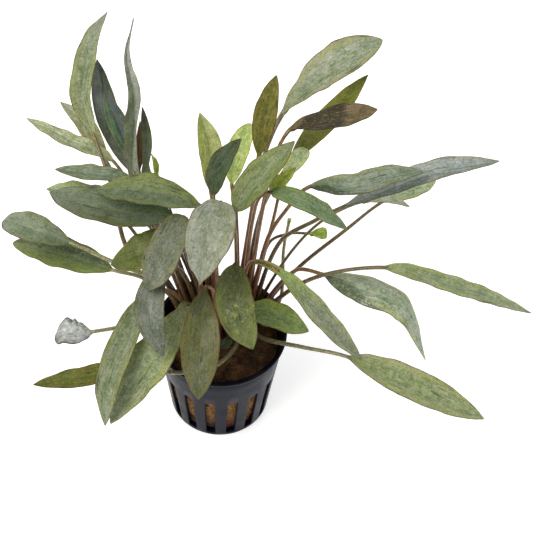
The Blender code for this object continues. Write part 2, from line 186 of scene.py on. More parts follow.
@dataclass(frozen=True)
class LeafSkin:
    """Leaf tissue under a thin wax cuticle.

    The blade grew as one thin sheet stretched between its midrib and fine veins. Wax gives it a soft,
    slightly silvery sheen, the tissue is marked darker along the veins, and the rim and base stay yellower.
    Fine wrinkles break the highlights up. A silvery sheen, small glints and shade are also painted in its
    colour.

    Attributes:
        name: The material's name, before the leaf's own.
        rim: The colour of the thin margin.
        pale: What dry areas and the painted silvery sheen turn to.
        marks: How strong the dark marks are.
        fleck: How strong the flecks of the flush colour are.
        sheen: The typical roughness.
        wrinkle: The depth of the wrinkles, in millimetres.
        shade: The darker tissue's colour, as shares of the leaf's own red, green and blue.
        wax: How much clear wax lies over the tissue.
        painted_sheen: How strong the painted silvery sheen is, which stands in for light reflected by the
            wax.
        yellow: How strong the yellow of the rim and base is.
        grains: Each pattern's size in millimetres, its detail, roughness and distortion.
        strokes: How often the strokes repeat across and along a blade.
        vein: How far apart the long veins lie, as a share of half the blade.
    """

    name: str
    rim: str = "#4a4028"
    pale: str = "#b0b5ab"
    marks: float = 0.85
    fleck: float = 0.25
    sheen: float = 0.52
    wrinkle: float = 0.65
    shade: Point = (0.56, 0.66, 0.50)
    wax: float = 0.12
    painted_sheen: float = 0.22
    yellow: float = 0.6
    grains: tuple[tuple[float, float, float, float], ...] = (
        (11.0, 2.0, 0.5, 0.5),
        (4.0, 4.0, 0.65, 0.8),
        (1.7, 4.0, 0.7, 0.6),
        (0.8, 3.0, 0.7, 0.0),
    )
    strokes: tuple[float, float] = (13.0, 9.0)
    vein: float = 0.145

    def make(self, leaf: str, tones: tuple[str, str]) -> Finish:
        """Builds the material of one leaf.

        Args:
            leaf: The leaf's name.
            tones: The leaf's colour, and what it flushes to.

        Returns:
            The leaf material, which reads the blade UV map and the tint attribute.
        """
        values = {"IOR": 1.42, "Coat_Weight": self.wax, "Coat_Roughness": 0.28, "Coat_IOR": 1.4}
        material, tree, shader = new_material(f"{self.name}_{leaf}", **values)
        ground, flush, pale, rim = (linear(tone) for tone in (*tones, self.pale, self.rim))
        # Lighter tissue, used for the painted glints and for the light grain.
        bright = scaled(ground, 1.5, 1.5, 1.6)
        yellow = scaled(ground, 1.35, 1.3, 0.35)
        shade = scaled(ground, *self.shade)
        deep = scaled(shade, 0.378, 0.462, 0.336)
        # The colour of painted shade.
        shadow = scaled(deep, 0.45, 0.45, 0.45)
        place = add_node(tree, "TexCoord", {}, "Object")
        sheet = add_node(tree, "UVMap", {}, uv_map="blade")
        across = add_node(tree, "SeparateXYZ", {0: sheet}, "X")
        along = add_node(tree, "SeparateXYZ", {0: sheet}, "Y")
        turn = add_node(tree, "Math", {0: across, 1: 2.0, 2: -1.0}, operation="MULTIPLY_ADD")
        out = add_node(tree, "Math", {0: turn}, operation="ABSOLUTE")
        vein = add_node(tree, "Math", {0: out, 1: self.vein}, operation="PINGPONG")
        noises = []
        for size, detail, rough, warp in self.grains:
            settings = {"Vector": place, "Scale": 1 / (size * MM), "Detail": detail}
            noises.append(add_node(tree, "TexNoise", settings | {"Roughness": rough, "Distortion": warp}))
        area, patch, fleck, grain = noises
        # The blade grew lengthwise, so its marks are drawn out along it. The cross veins and the cells
        # between them are a tenth of a millimetre apart, too fine to show: they are drawn coarser here.
        settings = {"Vector": sheet, "Scale": (*self.strokes, 1.0), "Rotation": (0.2, 0.3, 0.35)}
        drawn = add_node(tree, "Mapping", settings)
        settings = {"Vector": drawn, "Scale": 1.0, "Detail": 4.0, "Roughness": 0.65, "Distortion": 0.8}
        stroke = add_node(tree, "TexNoise", settings)
        settings = {"Vector": drawn, "Scale": 0.75}
        net = add_node(tree, "TexVoronoi", settings, "Distance", feature="DISTANCE_TO_EDGE")
        tint = add_node(tree, "Attribute", {}, "Color", attribute_name="tint")
        flushed, dried, darkened = (add_node(tree, "SeparateColor", {0: tint}, n) for n in range(3))
        # From the tissue up: dark and yellow areas, a painted silvery sheen, flush and dry patches, painted
        # shade, marks along the veins, painted glints, fine grain, the midrib's line and the brown rim. They
        # give the eye a dull, mottled green.
        layers = (
            (shade, 1.0, (patch, 0.40, 0.58)),
            (yellow, self.yellow * 1.2, (out, 0.45, 0.95), (patch, 0.38, 0.50)),
            (yellow, self.yellow * 0.8, (along, 0.35, 0.0)),
            # Painted sheen: pale silvery areas in the middle of the blade stand in for light reflected by the
            # wax.
            (pale, self.painted_sheen, (area, 0.42, 0.62), (stroke, 0.40, 0.54), (out, 1.0, 0.6)),
            (flush, 1.0, (flushed, 0.0, 1.0), (patch, 0.70, 0.50)),
            (flush, self.fleck, (fleck, 0.52, 0.60), (area, 0.40, 0.60)),
            (pale, 1.0, (dried, 0.0, 1.0), (fleck, 0.25, 0.50)),
            # Painted shade: the tint's third channel darkens parts that lie in other leaves' shade or turn
            # under, and on a few leaves their own dark parts.
            (shadow, 0.85, (darkened, 0.0, 1.0), (fleck, 0.80, 0.50)),
            (deep, self.marks, (stroke, 0.54, 0.60), (area, 0.40, 0.54)),
            (deep, self.marks * 0.6, (net, 0.05, 0.0), (patch, 0.42, 0.56)),
            # Painted highlights: small light strokes stand in for glints of the lamps on the wrinkled wax.
            (bright, 0.75, (stroke, 0.45, 0.38), (fleck, 0.42, 0.56)),
            (deep, 0.55, (grain, 0.45, 0.38)),
            (bright, 0.45, (grain, 0.56, 0.66)),
            (deep, 0.22, (vein, 0.02, 0.0)),
            (yellow, self.yellow * 0.7, (out, 0.045, 0.0)),
            (rim, 0.85, (out, 0.91, 0.97), (fleck, 0.32, 0.48)),
        )
        # Wax lies thicker in some areas than in others, which makes the sheen come and go.
        worn = {0: area, 1: 0.3, 2: 0.7, 3: self.sheen - 0.08, 4: self.sheen + 0.12}
        relief = ((patch, 0.5), (fleck, 0.45), (stroke, 0.45), (net, 0.2), (grain, 0.15))
        tree.links.new(painted(tree, ground, layers), shader.inputs["Base Color"])
        tree.links.new(add_node(tree, "MapRange", worn), shader.inputs["Roughness"])
        tree.links.new(raised(tree, self.wrinkle, *relief), shader.inputs["Normal"])
        return material


WAXY = LeafSkin("leaf_tissue_waxy")
# Its silvery look comes partly from more wax and partly from a stronger painted sheen.
SILVERY = LeafSkin(
    "leaf_tissue_silvery", pale="#a9ada4", marks=0.6, sheen=0.44, wax=0.3, painted_sheen=0.4, yellow=0.3
)
TENDER = LeafSkin("leaf_tissue_tender", rim="#6a6434", pale="#b9bf86", marks=0.45, fleck=0.15, painted_sheen=0.1)
MOTTLED = LeafSkin("leaf_tissue_mottled", fleck=0.75, marks=0.8, painted_sheen=0.15)
DEEP = LeafSkin(
    "leaf_tissue_deep", rim="#2c2018", pale="#8c8658", fleck=0.4, sheen=0.62, wax=0.0, painted_sheen=0.05, yellow=0.4
)
PAPERY = LeafSkin(
    "leaf_tissue_papery", rim="#34322e", pale="#d5d6d2", fleck=0.5, sheen=0.55, wax=0.1, yellow=0.0
)


@dataclass(frozen=True)
class StalkSkin:
    """Fleshy leaf stalk that grew upwards under a smooth wet skin.

    It is purple-brown at the foot and greener towards the blade, with darker fibres along it. Low down, where
    the crown shades it, it is painted darker.

    Attributes:
        name: The material's name.
        foot: The colour at the foot.
        neck: The colour at the blade.
        streak: How far apart the fibres lie, in millimetres.
    """

    name: str
    foot: str
    neck: str
    streak: float = 0.6

    def make(self) -> Finish:
        """Builds the material.

        Returns:
            The stalk material, which reads the length along the stalk from its UV map.
        """
        values = {"Roughness": 0.38, "IOR": 1.42, "Coat_Weight": 0.4, "Coat_Roughness": 0.2}
        material, tree, shader = new_material(self.name, **values)
        place = add_node(tree, "TexCoord", {}, "Object")
        sheet = add_node(tree, "UVMap", {}, uv_map="stalk")
        along = add_node(tree, "SeparateXYZ", {0: sheet}, "Y")
        height = add_node(tree, "SeparateXYZ", {0: place}, "Z")
        # A stalk grows upwards in long fibres, which show through its wet skin as streaks. The real fibres
        # are finer than a line of the picture, so they are drawn coarser.
        drawn = add_node(tree, "Mapping", {"Vector": place, "Scale": (1.0, 1.0, 0.12)})
        scale = 1 / (self.streak * MM)
        fibre = add_node(tree, "TexNoise", {"Vector": drawn, "Scale": scale, "Detail": 4.0, "Roughness": 0.6})
        blotch = add_node(tree, "TexNoise", {"Vector": place, "Scale": 160.0, "Detail": 3.0})
        rise = add_node(tree, "Math", {0: blotch, 1: 0.5, 2: along}, operation="MULTIPLY_ADD")
        foot = linear(self.foot)
        # The colour of the dark fibres, and of the painted shade low down.
        dark = scaled(foot, 0.3, 0.26, 0.3)
        warm = scaled(foot, 1.9, 1.5, 1.2)
        layers = (
            (linear(self.neck), 1.0, (rise, 0.35, 1.2)),
            (dark, 0.8, (fibre, 0.48, 0.62)),
            # Painted shade: the stalks darken towards the medium, where the crowded crown shades them.
            (dark, 0.75, (height, 76 * MM, 50 * MM)),
            (warm, 0.6, (fibre, 0.46, 0.36), (blotch, 0.42, 0.6)),
        )
        tree.links.new(painted(tree, foot, layers), shader.inputs["Base Color"])
        tree.links.new(raised(tree, 0.15, (fibre, 1.0)), shader.inputs["Normal"])
        return material


BROWN_STALK = StalkSkin("leaf_stalk_brown", "#85553a", "#8f7a3e")
OLIVE_STALK = StalkSkin("leaf_stalk_olive", "#6a5034", "#777a45")
GREEN_STALK = StalkSkin("leaf_stalk_green", "#8b8656", "#b6b88e")


@dataclass(frozen=True)
class PotPlastic:
    """Polypropylene, injection moulded in a satin tool.

    Its colour is even, its shine is soft, and it carries faint rings from the tool and scuffs from handling.
    A lighter colour in level bands is partly those scuffs and partly painted sheen.

    Attributes:
        name: The material's name.
        ground: The plastic's colour.
        scuff_and_sheen: The colour of a scuff, also used for the painted sheen in level bands.
        roughness: The typical roughness.
    """

    name: str
    ground: str
    scuff_and_sheen: str
    roughness: float

    def make(self) -> Finish:
        """Builds the material.

        Returns:
            The pot's material.
        """
        material, tree, shader = new_material(self.name, IOR=1.49, Specular_IOR_Level=0.06)
        place = add_node(tree, "TexCoord", {}, "Object")
        # The mould was turned on a lathe, and its fine rings are pressed into the wall. Handling leaves
        # smears. Both give a soft shine in level bands, and there a lighter colour is painted: partly scuffs,
        # partly painted sheen. The rings are drawn coarser, so that they show.
        turned = add_node(tree, "Mapping", {"Vector": place, "Scale": (0.08, 0.08, 1.0)})
        settings = {"Vector": turned, "Scale": 1100.0, "Detail": 5.0, "Roughness": 0.75}
        ring = add_node(tree, "TexNoise", settings)
        settings = {"Vector": place, "Scale": 130.0, "Detail": 5.0, "Roughness": 0.6}
        smear = add_node(tree, "TexNoise", settings)
        grain = add_node(tree, "TexNoise", {"Vector": place, "Scale": 2400.0, "Detail": 2.0})
        layers = ((linear(self.scuff_and_sheen), 0.7, (ring, 0.5, 0.68), (smear, 0.42, 0.66)),)
        worn = {0: smear, 1: 0.35, 2: 0.7, 3: self.roughness - 0.06, 4: self.roughness + 0.12}
        tree.links.new(painted(tree, linear(self.ground), layers), shader.inputs["Base Color"])
        tree.links.new(add_node(tree, "MapRange", worn), shader.inputs["Roughness"])
        tree.links.new(raised(tree, 0.03, (ring, 0.5), (grain, 1.0)), shader.inputs["Normal"])
        return material


@dataclass(frozen=True)
class StoneWool:
    """Spun mineral fibre that peat and algae have stained brown.

    It is matt, matted and dark between its fibres, with lighter golden ends where it is clean and dry.
    Low down, where the pot's floor and wall shade it, it is painted darker.

    Attributes:
        name: The material's name.
        dark: The colour between the fibres, which is also the painted shade low down.
        brown: The colour of stained fibre.
        gold: The colour of clean, dry fibre.
        red: The colour of the rust-red stain low down.
    """

    name: str
    dark: str
    brown: str
    gold: str
    red: str

    def make(self) -> Finish:
        """Builds the material.

        Returns:
            The medium's material.
        """
        material, tree, shader = new_material(self.name, Roughness=0.92)
        place = add_node(tree, "TexCoord", {}, "Object")
        height = add_node(tree, "SeparateXYZ", {0: place}, "Z")
        # Molten rock was spun to fibre and pressed to a block, so it has clumps, a matted nap and no shine.
        # Single fibres are a hundredth of a millimetre thick: the nap is drawn about a hundred times coarser.
        settings = {"Vector": place, "Scale": 210.0, "Detail": 6.0, "Roughness": 0.65}
        clump = add_node(tree, "TexNoise", settings)
        settings = {"Vector": place, "Scale": 900.0, "Detail": 6.0, "Roughness": 0.75, "Distortion": 1.2}
        matted = add_node(tree, "TexNoise", settings)
        area = add_node(tree, "TexNoise", {"Vector": place, "Scale": 55.0, "Detail": 2.0})
        gold = linear(self.gold)
        layers = (
            (linear(self.brown), 1.0, (clump, 0.42, 0.62)),
            (gold, 1.0, (matted, 0.42, 0.66), (height, 41 * MM, 28 * MM)),
            (gold, 0.55, (matted, 0.54, 0.68), (clump, 0.45, 0.6)),
            # Painted shade: the plug darkens towards its bottom, where the pot shades it.
            (linear(self.dark), 0.85, (height, 15 * MM, 7 * MM)),
            (linear(self.red), 0.7, (area, 0.50, 0.60), (height, 15 * MM, 9 * MM), (matted, 0.40, 0.56)),
        )
        tree.links.new(painted(tree, linear(self.dark), layers), shader.inputs["Base Color"])
        tree.links.new(raised(tree, 0.7, (matted, 1.0)), shader.inputs["Normal"])
        return material


@dataclass(frozen=True)
class DrySheath:
    """Old leaf sheath and root bark, dried thin, which folds and splits along its fibres.

    Attributes:
        name: The material's name.
        ground: The colour of the dry tissue.
        light: The colour where it has bleached.
    """

    name: str
    ground: str
    light: str

    def make(self) -> Finish:
        """Builds the material.

        Returns:
            The sheath's material.
        """
        material, tree, shader = new_material(self.name, Roughness=0.6)
        place = add_node(tree, "TexCoord", {}, "Object")
        # The tissue dried and split along its fibres, which gives it matt streaks, dark brown to straw. They
        # are drawn a little coarser than they are.
        drawn = add_node(tree, "Mapping", {"Vector": place, "Scale": (1.0, 1.0, 0.15)})
        settings = {"Vector": drawn, "Scale": 1500.0, "Detail": 4.0, "Roughness": 0.7}
        fibre = add_node(tree, "TexNoise", settings)
        blotch = add_node(tree, "TexNoise", {"Vector": place, "Scale": 260.0, "Detail": 3.0})
        layers = ((linear(self.light), 1.0, (fibre, 0.4, 0.65), (blotch, 0.4, 0.62)),)
        tree.links.new(painted(tree, linear(self.ground), layers), shader.inputs["Base Color"])
        tree.links.new(raised(tree, 0.25, (fibre, 1.0)), shader.inputs["Normal"])
        return material


@dataclass(frozen=True)
class LightTable:
    """White acrylic sheet, cast and lit from below, so that it stays pale under the plant.

    Attributes:
        name: The material's name.
        colour: The sheet's colour.
        glow: How strongly it is lit from below.
    """

    name: str = "light_table_acrylic"
    colour: str = "#f4f4f4"
    glow: float = 0.48

    def make(self) -> Finish:
        """Builds the material.

        Returns:
            The floor's material.
        """
        # Cast sheet is smooth and even, and light from below leaves only a faint shadow on it.
        white = linear("#ffffff")
        values = {"Base_Color": linear(self.colour), "Emission_Color": white, "Emission_Strength": self.glow}
        return new_material(self.name, Roughness=0.7, **values)[0]


def clear_selection() -> None:
    """Leaves edit mode and deselects every object."""
    if bpy.context.object and bpy.context.object.mode != "OBJECT":
        bpy.ops.object.mode_set(mode="OBJECT")
    bpy.ops.object.select_all(action="DESELECT")


def make_active(piece: Piece) -> None:
    """Selects this object alone and makes it the active one.

    Args:
        piece: The object.
    """
    clear_selection()
    piece.select_set(True)
    bpy.context.view_layer.objects.active = piece


def apply_modifier(piece: Piece, name: str, kind: str, **settings: object) -> None:
    """Adds a modifier with these settings and applies it.

    Args:
        piece: The object.
        name: The modifier's name.
        kind: The modifier's type.
        settings: Its properties and their values.
    """
    modifier = piece.modifiers.new(name, kind)
    for setting, value in settings.items():
        setattr(modifier, setting, value)
    make_active(piece)
    bpy.ops.object.modifier_apply(modifier=name)


def edit_all(piece: Piece, *steps: Callable[[], object]) -> None:
    """Runs edit mode operators on the whole mesh.

    Args:
        piece: The object.
        steps: The operators, each as a call without arguments.
    """
    make_active(piece)
    bpy.ops.object.mode_set(mode="EDIT")
    bpy.ops.mesh.select_all(action="SELECT")
    for step in steps:
        step()
    bpy.ops.object.mode_set(mode="OBJECT")


def mend_normals() -> None:
    """Turns the selected faces outwards."""
    bpy.ops.mesh.normals_make_consistent(inside=False)


def merge_doubles() -> None:
    """Merges selected corners that lie on each other."""
    bpy.ops.mesh.remove_doubles(threshold=0.01 * MM)


def soften(piece: Piece, width: float) -> None:
    """Rounds a piece's sharp edges off over this many millimetres."""
    settings = {"segments": 2, "limit_method": "ANGLE", "angle_limit": radians(40)}
    apply_modifier(piece, "soft_edges", "BEVEL", width=width * MM, **settings)


def settled(name: str) -> Piece:
    """Names the object that was added last, and works its place, turn and size into its mesh.

    Args:
        name: Its new name.

    Returns:
        The object.
    """
    piece = bpy.context.object
    piece.name = piece.data.name = name
    bpy.ops.object.transform_apply(location=True, rotation=True, scale=True)
    return piece


def blank(name: str, across: int, along: int) -> Piece:
    """Adds a flat sheet of cells to be shaped.

    Args:
        name: The piece's name.
        across: Cells across it, which is the u direction.
        along: Cells along it, which is the v direction.

    Returns:
        The sheet, one metre square, with a UV map from 0 to 1.
    """
    clear_selection()
    bpy.ops.mesh.primitive_grid_add(x_subdivisions=across, y_subdivisions=along, size=1.0)
    piece = bpy.context.object
    piece.name = piece.data.name = name
    return piece


def lay(piece: Piece, place: Callable[[float, float], Vector]) -> list[tuple[float, float]]:
    """Moves each corner of a blank to its place.

    Args:
        piece: A blank.
        place: Gives a corner's place in millimetres from its u and v.

    Returns:
        Each corner's u and v, in the mesh's order.
    """
    sheet = [(corner.co.x + 0.5, corner.co.y + 0.5) for corner in piece.data.vertices]
    for corner, (u, v) in zip(piece.data.vertices, sheet):
        corner.co = place(u, v) * MM
    piece.data.update()
    return sheet


def finish_piece(
    piece: Piece, node: str | None, material: Finish, smooth_angle: float = 180.0
) -> None:
    """Gives a piece its finish, and ties it to the pot and plant.

    Args:
        piece: The object.
        node: The solid that it stands for, if there is one.
        material: Its finish.
        smooth_angle: Edges sharper than this many degrees stay sharp.
    """
    piece.data.materials.clear()
    piece.data.materials.append(material)
    make_active(piece)
    bpy.ops.object.shade_smooth_by_angle(angle=radians(smooth_angle))
    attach(piece, "root")
    if node:
        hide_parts(node)
    log.info("%s: %d faces, %s", piece.name, len(piece.data.polygons), material.name)


def eased(low: float, high: float, value: float) -> float:
    """Goes smoothly from 0 at low to 1 at high."""
    share = min(max((value - low) / (high - low), 0.0), 1.0)
    return share * share * (3 - 2 * share)


def evenly(steps: tuple[float, ...], share: float) -> float:
    """A value between even steps.

    Args:
        steps: The values at even steps.
        share: How far along them, from 0 to 1.

    Returns:
        The value there, smoothly between the nearest two.
    """
    spot = min(max(share, 0.0), 1.0) * (len(steps) - 1)
    low = min(int(spot), len(steps) - 2)
    return steps[low] + (steps[low + 1] - steps[low]) * eased(0.0, 1.0, spot - low)


def wander(x: float, y: float, z: float = 0.0) -> float:
    """Smooth noise from about -1 to 1."""
    return noise.noise(Vector((x, y, z)))


@dataclass
class MidLine:
    """A smooth curve through a few points, the line that a stalk and its blade follow.

    Attributes:
        points: The points, from the root to the blade's tip.
        neck: The number of the point where the blade starts.
    """

    points: list[Point]
    neck: int

    def __post_init__(self) -> None:
        """Works out the slope at each point, and which way is flat across the blade."""
        self.knots = [Vector(point) for point in self.points]
        self.slopes = []
        for number, knot in enumerate(self.knots):
            before = self.knots[max(number - 1, 0)]
            after = self.knots[min(number + 1, len(self.knots) - 1)]
            reach = (knot - before).length + (after - knot).length
            self.slopes.append((after - before) / reach)
        way = self.knots[-1] - self.knots[self.neck]
        self.flat_side = Vector((way.y, -way.x, 0.0)).normalized()

    def length(self, first: int, last: int) -> float:
        """The straight distance along the points from one to another, in millimetres."""
        return sum((self.knots[n + 1] - self.knots[n]).length for n in range(first, last))

    def at(self, first: int, last: int, share: float) -> Vector:
        """The curve's point at this share of the way between two of its points.

        Args:
            first: The number of the point where share is 0.
            last: The number of the point where share is 1.
            share: How far along, from 0 to 1.

        Returns:
            The point, in millimetres.
        """
        rest = share * self.length(first, last)
        span = first
        while span < last - 1 and rest > (self.knots[span + 1] - self.knots[span]).length:
            rest -= (self.knots[span + 1] - self.knots[span]).length
            span += 1
        start, end = self.knots[span], self.knots[span + 1]
        length = (end - start).length
        part = min(rest / length, 1.0)
        square, cube = part**2, part**3
        return (
            (2 * cube - 3 * square + 1) * start
            + (cube - 2 * square + part) * length * self.slopes[span]
            + (3 * square - 2 * cube) * end
            + (cube - square) * length * self.slopes[span + 1]
        )

    def frames(self, first: int, last: int, count: int) -> list[tuple[Vector, Vector, Vector]]:
        """Frames at even steps along the curve.

        Args:
            first: The number of the point where they start.
            last: The number of the point where they end.
            count: How many steps there are, one less than the frames.

        Returns:
            For each frame its middle, the way to the blade's right, and the way up from its face.
        """
        places = [self.at(first, last, step / count) for step in range(count + 1)]
        found = []
        for number, place in enumerate(places):
            after = places[min(number + 1, count)]
            before = places[max(number - 1, 0)]
            tangent = (after - before).normalized()
            side = (self.flat_side - self.flat_side.dot(tangent) * tangent).normalized()
            found.append((place, side, side.cross(tangent)))
        return found


class Place(Enum):
    """A part of a blade that can differ in colour, seen from the blade's base towards its tip."""

    ALL = "all"
    BASE = "base"
    TIP = "tip"
    LEFT = "left"
    RIGHT = "right"
    RIM = "rim"
    RIB = "rib"
    MIDDLE = "middle"
    UNDERSIDE = "right half near the base, where it turns under"

    def weight(self, u: float, v: float) -> float:
        """How much a spot on the blade belongs to this part.

        Args:
            u: Across, 0 at the left margin and 1 at the right.
            v: Along, 0 at the base and 1 at the tip.

        Returns:
            A weight from 0 to 1.
        """
        out = abs(2 * u - 1)
        return {
            Place.ALL: 1.0,
            Place.BASE: 1 - eased(0.0, 0.55, v),
            Place.TIP: eased(0.5, 1.0, v),
            Place.LEFT: 1 - eased(0.3, 0.52, u),
            Place.RIGHT: eased(0.48, 0.7, u),
            Place.RIM: out**3,
            Place.RIB: exp(-((out / 0.22) ** 2)),
            Place.UNDERSIDE: (1 - eased(-0.03, 0.05, v - 0.5 * u)) * eased(0.46, 0.52, u),
            Place.MIDDLE: eased(0.30, 0.36, v + 0.1 * u) * (1 - eased(0.68, 0.76, v + 0.1 * u)),
        }[self]


@dataclass
class Leaf:
    """One leaf: a fleshy stalk from the medium, and a thin blade along the smooth line of its midrib.

    Attributes:
        name: The name of its solid, without "leaf_".
        shoot: The shoot that it grows from.
        stalk: Points that the stalk passes, in millimetres.
        blade: Points of the midrib, from the neck to the tip.
        width: The blade's width where it is widest.
        tones: Its colour, and what it flushes to.
        skin: The blade's finish.
        slot: The last word of the record's slot for its blade. It is not used.
        fold: How far the margins rise for each unit across.
        start: How fast the blade widens from its neck.
        taper: How fast the blade narrows to its tip.
        left: How wide its left half is at even steps from base to tip, as shares of the usual half.
        right: The same for its right half.
        wave: How far the margins swing up and down, in millimetres.
        ripples: How many such waves there are along each margin.
        ragged: How uneven the outline is, as a share of the width.
        wing: The share of the stalk that the blade runs down as a narrow wing.
        wing_width: How far that wing stands out, in millimetres.
        sheath: The height of the dry sheath round the stalk's foot, in millimetres.
        flush: Parts of the blade that turn to the flush colour, each with its strength from 0 to 1.
        pale: The same for parts that are dry or silvery.
        dark: The same for parts darkened with painted shade, and for a few leaves' own dark parts.
        stem: The stalk's finish.
        across: Cells across the blade.
        along: Cells along the blade, with its wing.
        wing_rows: How many of those rows the wing takes.
        thickness: The blade's thickness, in millimetres.
        groove: How deep the midrib lies in the blade, in millimetres.
        wrinkles: Height, size across, size along and shift of the broad and the fine wrinkles.
        narrowest: The least half width of the blade, in millimetres.
        around: Cells round the stalk.
        stalk_rows: Cells along the stalk.
        rib_rows: Cells along the midrib.
        stalk_radii: The stalk's radius at its foot, in its middle and at the neck, in millimetres.
        oval: How broad and how deep the stalk is, as shares of a round one.
        rib_reach: The share of the blade that the midrib stands out along.
        rib_end: The midrib's radius at its tip, in millimetres.
        fine_steps: Steps in which the stalk's line is walked for the wing and the sheath.
        sheath_cells: Cells round and along the sheath.
        sheath_turn: How far the sheath goes round the stalk, in radians.
        sheath_thickness: The sheath's thickness, in millimetres.
    """

    name: str
    shoot: Shoot
    stalk: tuple[Point, ...]
    blade: tuple[Point, ...]
    width: float
    tones: tuple[str, str]
    skin: LeafSkin = WAXY
    slot: str = "sage"
    fold: float = 0.25
    start: float = 0.7
    taper: float = 0.85
    left: tuple[float, ...] = (1.0, 1.0)
    right: tuple[float, ...] = (1.0, 1.0)
    wave: float = 0.6
    ripples: float = 3.0
    ragged: float = 0.03
    wing: float = 0.10
    wing_width: float = 0.8
    sheath: float = 0.0
    flush: dict[Place, float] = field(default_factory=dict)
    pale: dict[Place, float] = field(default_factory=dict)
    dark: dict[Place, float] = field(default_factory=dict)
    stem: StalkSkin = BROWN_STALK
    across: int = 18
    along: int = 56
    wing_rows: int = 8
    thickness: float = 0.34
    groove: float = 0.38
    wrinkles: tuple[tuple[float, float, float, float], ...] = ((0.30, 3.6, 7.0, 0.0), (0.14, 1.5, 2.2, 5.0))
    narrowest: float = 0.22
    around: int = 10
    stalk_rows: int = 30
    rib_rows: int = 24
    stalk_radii: Point = (1.25, 0.95, 0.75)
    oval: tuple[float, float] = (1.08, 0.92)
    rib_reach: float = 0.93
    rib_end: float = 0.14
    fine_steps: int = 80
    sheath_cells: tuple[int, int] = (14, 12)
    sheath_turn: float = 3.9
    sheath_thickness: float = 0.16

    @property
    def seed(self) -> float:
        """A number of its own for each leaf, from the letters of its name."""
        return sum((n + 1) * ord(letter) for n, letter in enumerate(self.name)) % 997 * 0.37

    def line(self, root: Point) -> MidLine:
        """The line from where the stalk stands, through its points, to the blade's tip."""
        return MidLine([root, *self.stalk, *self.blade], len(self.stalk) + 1)

    def half_width(self, v: float) -> float:
        """Half the blade's width, as its start and taper alone would make it.

        Args:
            v: The share of the blade's length, 0 at its neck and 1 at its tip.

        Returns:
            Half the width there, in millimetres.
        """
        widest = self.start / (self.start + self.taper)
        full = widest**self.start * (1 - widest) ** self.taper
        return self.width / 2 * v**self.start * max(1 - v, 0.0) ** self.taper / full

    def make_blade(self, line: MidLine, material: Finish) -> None:
        """Models the blade: a blank cut to its outline, bent along the midrib, and given its thickness.

        Args:
            line: The leaf's line.
            material: The blade's finish.
        """
        piece = blank(f"leaf_{self.name}_blade", self.across, self.along)
        piece.data.uv_layers[0].name = "blade"
        rows = self.along - self.wing_rows
        stem = line.frames(0, line.neck, self.fine_steps)
        spots = [self.fine_steps * (1 - self.wing * (1 - n / self.wing_rows)) for n in range(self.wing_rows)]
        frames = [stem[round(spot)] for spot in spots] + line.frames(line.neck, len(line.points) - 1, rows)
        length = line.length(line.neck, len(line.points) - 1)

        def place(u: float, v: float) -> Vector:
            """Where a corner of the blank goes: out to the margin, and up with fold, waves and wrinkles.

            Args:
                u: Across, 0 at the left margin and 1 at the right.
                v: Along, 0 at the foot of the wing and 1 at the tip.

            Returns:
                The point, in millimetres.
            """
            row = round(v * self.along)
            middle, side, up = frames[row]
            share = (row - self.wing_rows) / rows
            turn = 2 * u - 1
            out = abs(turn)
            right = turn > 0
            edge = self.seed + 9.0 * right
            # How far this row reaches out: the outline with its uneven edge, or the narrow wing below it.
            if share > 0:
                half = self.half_width(share) * evenly(self.right if right else self.left, share)
                rough = wander(share * length / 7.0, edge) + 0.6 * wander(share * length / 2.6, edge, 4.0)
                half *= 1 + self.ragged * 1.6 * rough
                half = max(half, self.wing_width * (1 - eased(0.0, 0.4, share)))
            else:
                half = self.wing_width * eased(0.0, 1.0, row / self.wing_rows)
            half = max(half, self.narrowest)
            # How far it lifts: the fold, the margin's waves and the wrinkles, less the groove at the midrib.
            # Waves, wrinkles and groove die away towards both ends.
            calm = sin(pi * min(max(share, 0.0), 1.0)) ** 0.5
            lift = self.fold * half * out**1.5
            beat = tau * self.ripples * share + 2.2 * wander(share * 2.3, edge, 2.0) + edge
            lift += 0.55 * self.wave * calm * out**2 * sin(beat) * min(half / 3.0, 1.0)
            for high, wide, long, shift in self.wrinkles:
                lift += high * calm * wander(turn * half / wide, share * length / long, self.seed + shift)
            lift -= self.groove * exp(-((out * half / 0.55) ** 2)) * calm
            return middle + side * (turn * half) + up * lift

        sheet = lay(piece, place)
        tint = piece.data.color_attributes.new("tint", "FLOAT_COLOR", "POINT")
        for spot, (u, v) in zip(tint.data, sheet):
            areas = (self.flush, self.pale, self.dark)
            amounts = [sum(amount * part.weight(u, v) for part, amount in area.items()) for area in areas]
            spot.color = [min(amount, 1.0) for amount in amounts] + [1.0]
        edit_all(piece, mend_normals)
        apply_modifier(piece, "thickness", "SOLIDIFY", thickness=self.thickness * MM, offset=0.0)
        apply_modifier(piece, "rounding", "SUBSURF", levels=1, render_levels=1)
        finish_piece(piece, f"leaf_{self.name}", material)

    def make_stalk(self, line: MidLine, material: Finish) -> None:
        """Models the stalk, which stands in the medium and runs out under the blade as its midrib.

        Args:
            line: The leaf's line.
            material: The stalk's finish.
        """
        steps = self.stalk_rows + self.rib_rows
        piece = blank(f"leaf_{self.name}_stalk", self.around, steps + 1)
        piece.data.uv_layers[0].name = "stalk"
        stem = line.frames(0, line.neck, self.stalk_rows)
        rib = line.frames(line.neck, len(line.points) - 1, self.along)
        foot, waist, neck = self.stalk_radii
        thin = min(self.width / 11.0, 1.0) ** 0.5

